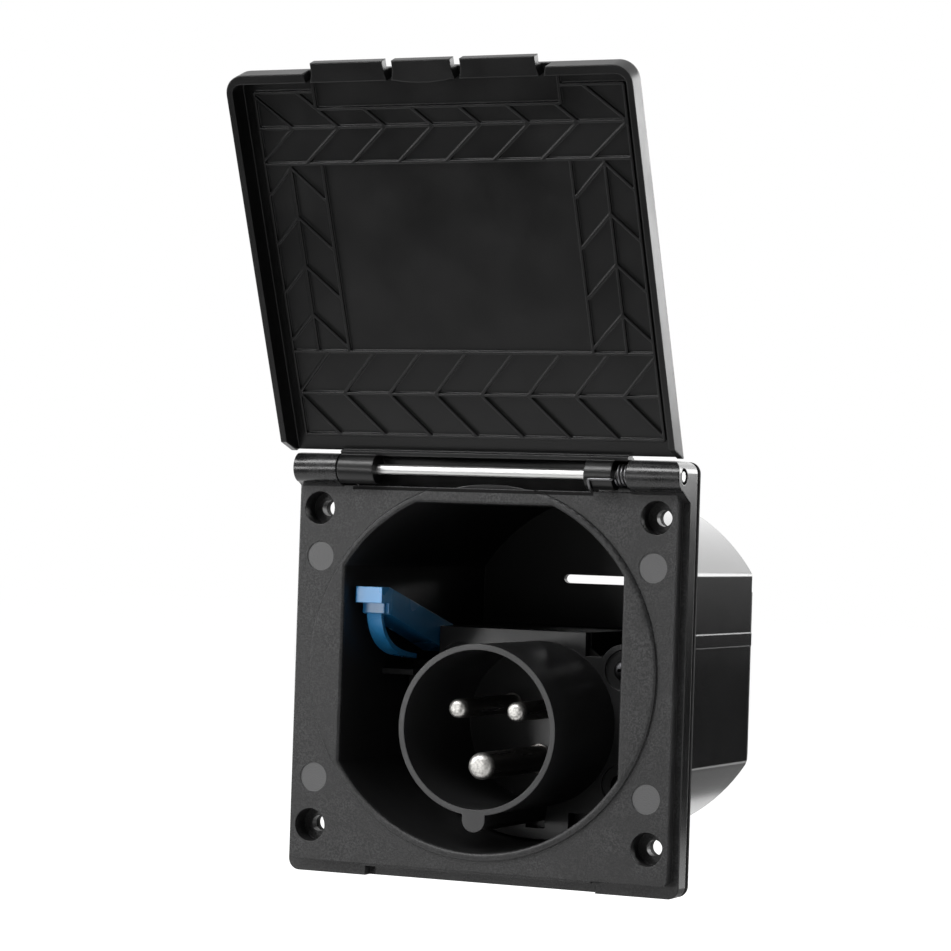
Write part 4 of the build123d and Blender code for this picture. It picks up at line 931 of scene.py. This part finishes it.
class INLET_OT_stage(bpy.types.Operator):
    """Set up floor, soft studio light and the camera"""

    bl_idname = "inlet.stage"
    bl_label = "Studio stage"

    def execute(self, context):
        scene = context.scene
        scene.view_settings.view_transform = "Standard"
        floor_z = CAD_BOX[0][2] - scene.inlet_sizes.floor_drop
        backdrop = scene.inlet_colours.backdrop
        self.surroundings(scene, backdrop)
        self.floor(floor_z, backdrop)
        self.lamps()
        self.reflection_cards(floor_z)
        self.camera(scene)
        return {"FINISHED"}

    def surroundings(self, scene, backdrop):
        """White where it is seen, a room that darkens towards the front in reflections, dim soft fill."""
        world = bpy.data.worlds.new("white_room")
        scene.world = world
        world.use_nodes = True
        tree = world.node_tree
        tree.nodes.clear()
        path = tree.nodes.new("ShaderNodeLightPath")
        coords = tree.nodes.new("ShaderNodeTexCoord")
        depth = split_axes(tree, coords.outputs["Generated"])["Y"]
        room = self.glow(tree, backdrop)
        tree.links.new(zone(tree, depth, ROOM_SPAN, ROOM_LEVELS), room.inputs["Strength"])
        fill = self.glow(tree, backdrop)
        fill.inputs["Strength"].default_value = FILL_LEVEL
        seen = self.glow(tree, backdrop)
        mirrored = tree.nodes.new("ShaderNodeMixShader")
        tree.links.new(path.outputs["Is Glossy Ray"], mirrored.inputs["Fac"])
        tree.links.new(fill.outputs["Background"], mirrored.inputs[1])
        tree.links.new(room.outputs["Background"], mirrored.inputs[2])
        pick = tree.nodes.new("ShaderNodeMixShader")
        clear = combine(tree, "MAXIMUM", path.outputs["Is Camera Ray"], path.outputs["Is Transmission Ray"])
        tree.links.new(clear, pick.inputs["Fac"])
        tree.links.new(mirrored.outputs["Shader"], pick.inputs[1])
        tree.links.new(seen.outputs["Background"], pick.inputs[2])
        out = tree.nodes.new("ShaderNodeOutputWorld")
        tree.links.new(pick.outputs["Shader"], out.inputs["Surface"])

    def glow(self, tree, backdrop):
        """A background in the backdrop's colour."""
        background = tree.nodes.new("ShaderNodeBackground")
        background.inputs["Color"].default_value = backdrop
        return background

    def floor(self, floor_z, backdrop):
        """Pale floor well below the part. It glows where it is seen or mirrored, and takes a soft shadow."""
        material, tree, shader = new_material("pale_floor")
        shader.inputs["Base Color"].default_value = FLOOR_GREY
        shader.inputs["Roughness"].default_value = FLOOR_ROUGHNESS
        shader.inputs["Specular IOR Level"].default_value = 0.0
        glow = tree.nodes.new("ShaderNodeEmission")
        glow.inputs["Color"].default_value = backdrop
        path = tree.nodes.new("ShaderNodeLightPath")
        seen = combine(tree, "MAXIMUM", path.outputs["Is Camera Ray"], path.outputs["Is Glossy Ray"])
        seen = combine(tree, "MAXIMUM", seen, path.outputs["Is Transmission Ray"])
        tree.links.new(product(tree, seen, FLOOR_GLOW), glow.inputs["Strength"])
        both = tree.nodes.new("ShaderNodeAddShader")
        out = next(node for node in tree.nodes if node.type == "OUTPUT_MATERIAL")
        tree.links.new(shader.outputs["BSDF"], both.inputs[0])
        tree.links.new(glow.outputs["Emission"], both.inputs[1])
        tree.links.new(both.outputs["Shader"], out.inputs["Surface"])
        plate = flat_sheet("floor", low=(-FLOOR_HALF, -FLOOR_HALF, floor_z),
                           high=(FLOOR_HALF, FLOOR_HALF, floor_z), material=material)

    def lamps(self):
        """Softboxes at the front left and above it, and dimmer ones behind and overhead."""
        soft_lamp("lamp_key", place=(-0.67, -0.42, 0.3), aim=(0.0, 0.0, 0.02),
                  width=0.38, height=0.5, radiance=6.5)
        soft_lamp("lamp_high", place=(-0.4, -0.86, 0.92), aim=(0.0, 0.0, 0.08),
                  width=0.7, height=0.35, radiance=18.0)
        soft_lamp("lamp_front", place=(-0.584, -1.128, -0.009), aim=(0.0, 0.0, 0.0),
                  width=0.2, height=0.2, radiance=19.0)
        soft_lamp("lamp_back", place=(0.0, 1.25, 0.6), aim=(0.0, 0.0, 0.6),
                  width=0.7, height=0.6, radiance=1.6)
        soft_lamp("lamp_side", place=(0.72, 1.25, 0.39), aim=(0.72, 0.0, 0.39),
                  width=0.7, height=0.6, radiance=6.0)
        soft_lamp("lamp_top", place=(0.1, -0.1, 1.0), aim=(0.0, 0.0, 0.05),
                  width=0.8, height=0.8, radiance=2.0)

    def reflection_cards(self, floor_z):
        """Glowing cards that only reflections show, painted reflections in the black plastic: one stands
        behind, and two lie just above the floor.
        """
        card_z = floor_z + CARD_LIFT
        self.reflection_card("card_behind", low=(0.2, 1.1, floor_z), high=(1.0, 1.1, 0.05),
                       axis="Z", span=(-0.045, 0.03), levels=(0.03, 0.3))
        self.reflection_card("card_floor", low=(-0.7, -0.75, card_z), high=(0.25, -0.2, card_z),
                       axis="Y", span=(-0.36, -0.23), levels=(0.05, 1.0))
        self.reflection_card("card_under", low=(0.0, 0.15, card_z), high=(0.6, 0.6, card_z),
                       axis="Y", span=(0.15, 0.6), levels=(0.25, 0.5))

    def reflection_card(self, name, low, high, axis, span, levels):
        """Card that only reflections show, glowing brighter along one axis: a painted reflection."""
        material, tree, shader = new_material(name + "_reflection_glow")
        shader.inputs["Base Color"].default_value = BLACK
        shader.inputs["Specular IOR Level"].default_value = 0.0
        # The glow is a painted reflection: the card lights nothing and casts no shadow
        shader.inputs["Emission Color"].default_value = WHITE
        along = split_axes(tree, object_place(tree))[axis]
        tree.links.new(zone(tree, along, span, levels), shader.inputs["Emission Strength"])
        card = flat_sheet(name, low, high, material)
        card.visible_camera = False
        card.visible_diffuse = False
        card.visible_shadow = False

    def camera(self, scene):
        """Camera at the photograph's viewing angle."""
        data = bpy.data.cameras.new("camera")
        data.lens = CAMERA_LENS
        data.sensor_width = CAMERA_SENSOR
        data.clip_end = CAMERA_REACH
        holder = bpy.data.objects.new("camera", data)
        scene.collection.objects.link(holder)
        turn = Euler((CAMERA_TILT, CAMERA_ROLL, CAMERA_TURN)).to_matrix().to_4x4()
        holder.matrix_world = Matrix.Translation(CAMERA_PLACE) @ turn
        scene.camera = holder


class INLET_PT_panel(bpy.types.Panel):
    """Steps and settings of the inlet's finish"""

    bl_idname = "INLET_PT_panel"
    bl_label = "Mains inlet"
    bl_space_type = "VIEW_3D"
    bl_region_type = "UI"
    bl_category = "Inlet"

    def draw(self, context):
        for step in STEPS:
            self.layout.operator(step)
        for group in (context.scene.inlet_sizes, context.scene.inlet_colours):
            for key in group.__annotations__:
                self.layout.prop(group, key)


STEPS = (
    "inlet.mouldings", "inlet.lid", "inlet.lever", "inlet.spring", "inlet.screws", "inlet.metalwork",
    "inlet.seals", "inlet.stage",
)
CLASSES = (
    InletSizes, InletColours, INLET_OT_mouldings, INLET_OT_lid, INLET_OT_lever, INLET_OT_spring,
    INLET_OT_screws, INLET_OT_metalwork, INLET_OT_seals, INLET_OT_stage, INLET_PT_panel,
)


def register():
    for cls in CLASSES:
        bpy.utils.register_class(cls)
    bpy.types.Scene.inlet_sizes = bpy.props.PointerProperty(type=InletSizes)
    bpy.types.Scene.inlet_colours = bpy.props.PointerProperty(type=InletColours)


def unregister():
    del bpy.types.Scene.inlet_colours
    del bpy.types.Scene.inlet_sizes
    for cls in reversed(CLASSES):
        bpy.utils.unregister_class(cls)


def main():
    register()
    bpy.ops.inlet.mouldings()
    bpy.ops.inlet.lid()
    bpy.ops.inlet.lever()
    bpy.ops.inlet.spring()
    bpy.ops.inlet.screws()
    bpy.ops.inlet.metalwork()
    bpy.ops.inlet.seals()
    bpy.ops.inlet.stage()


if __name__ == "__main__":
    main()
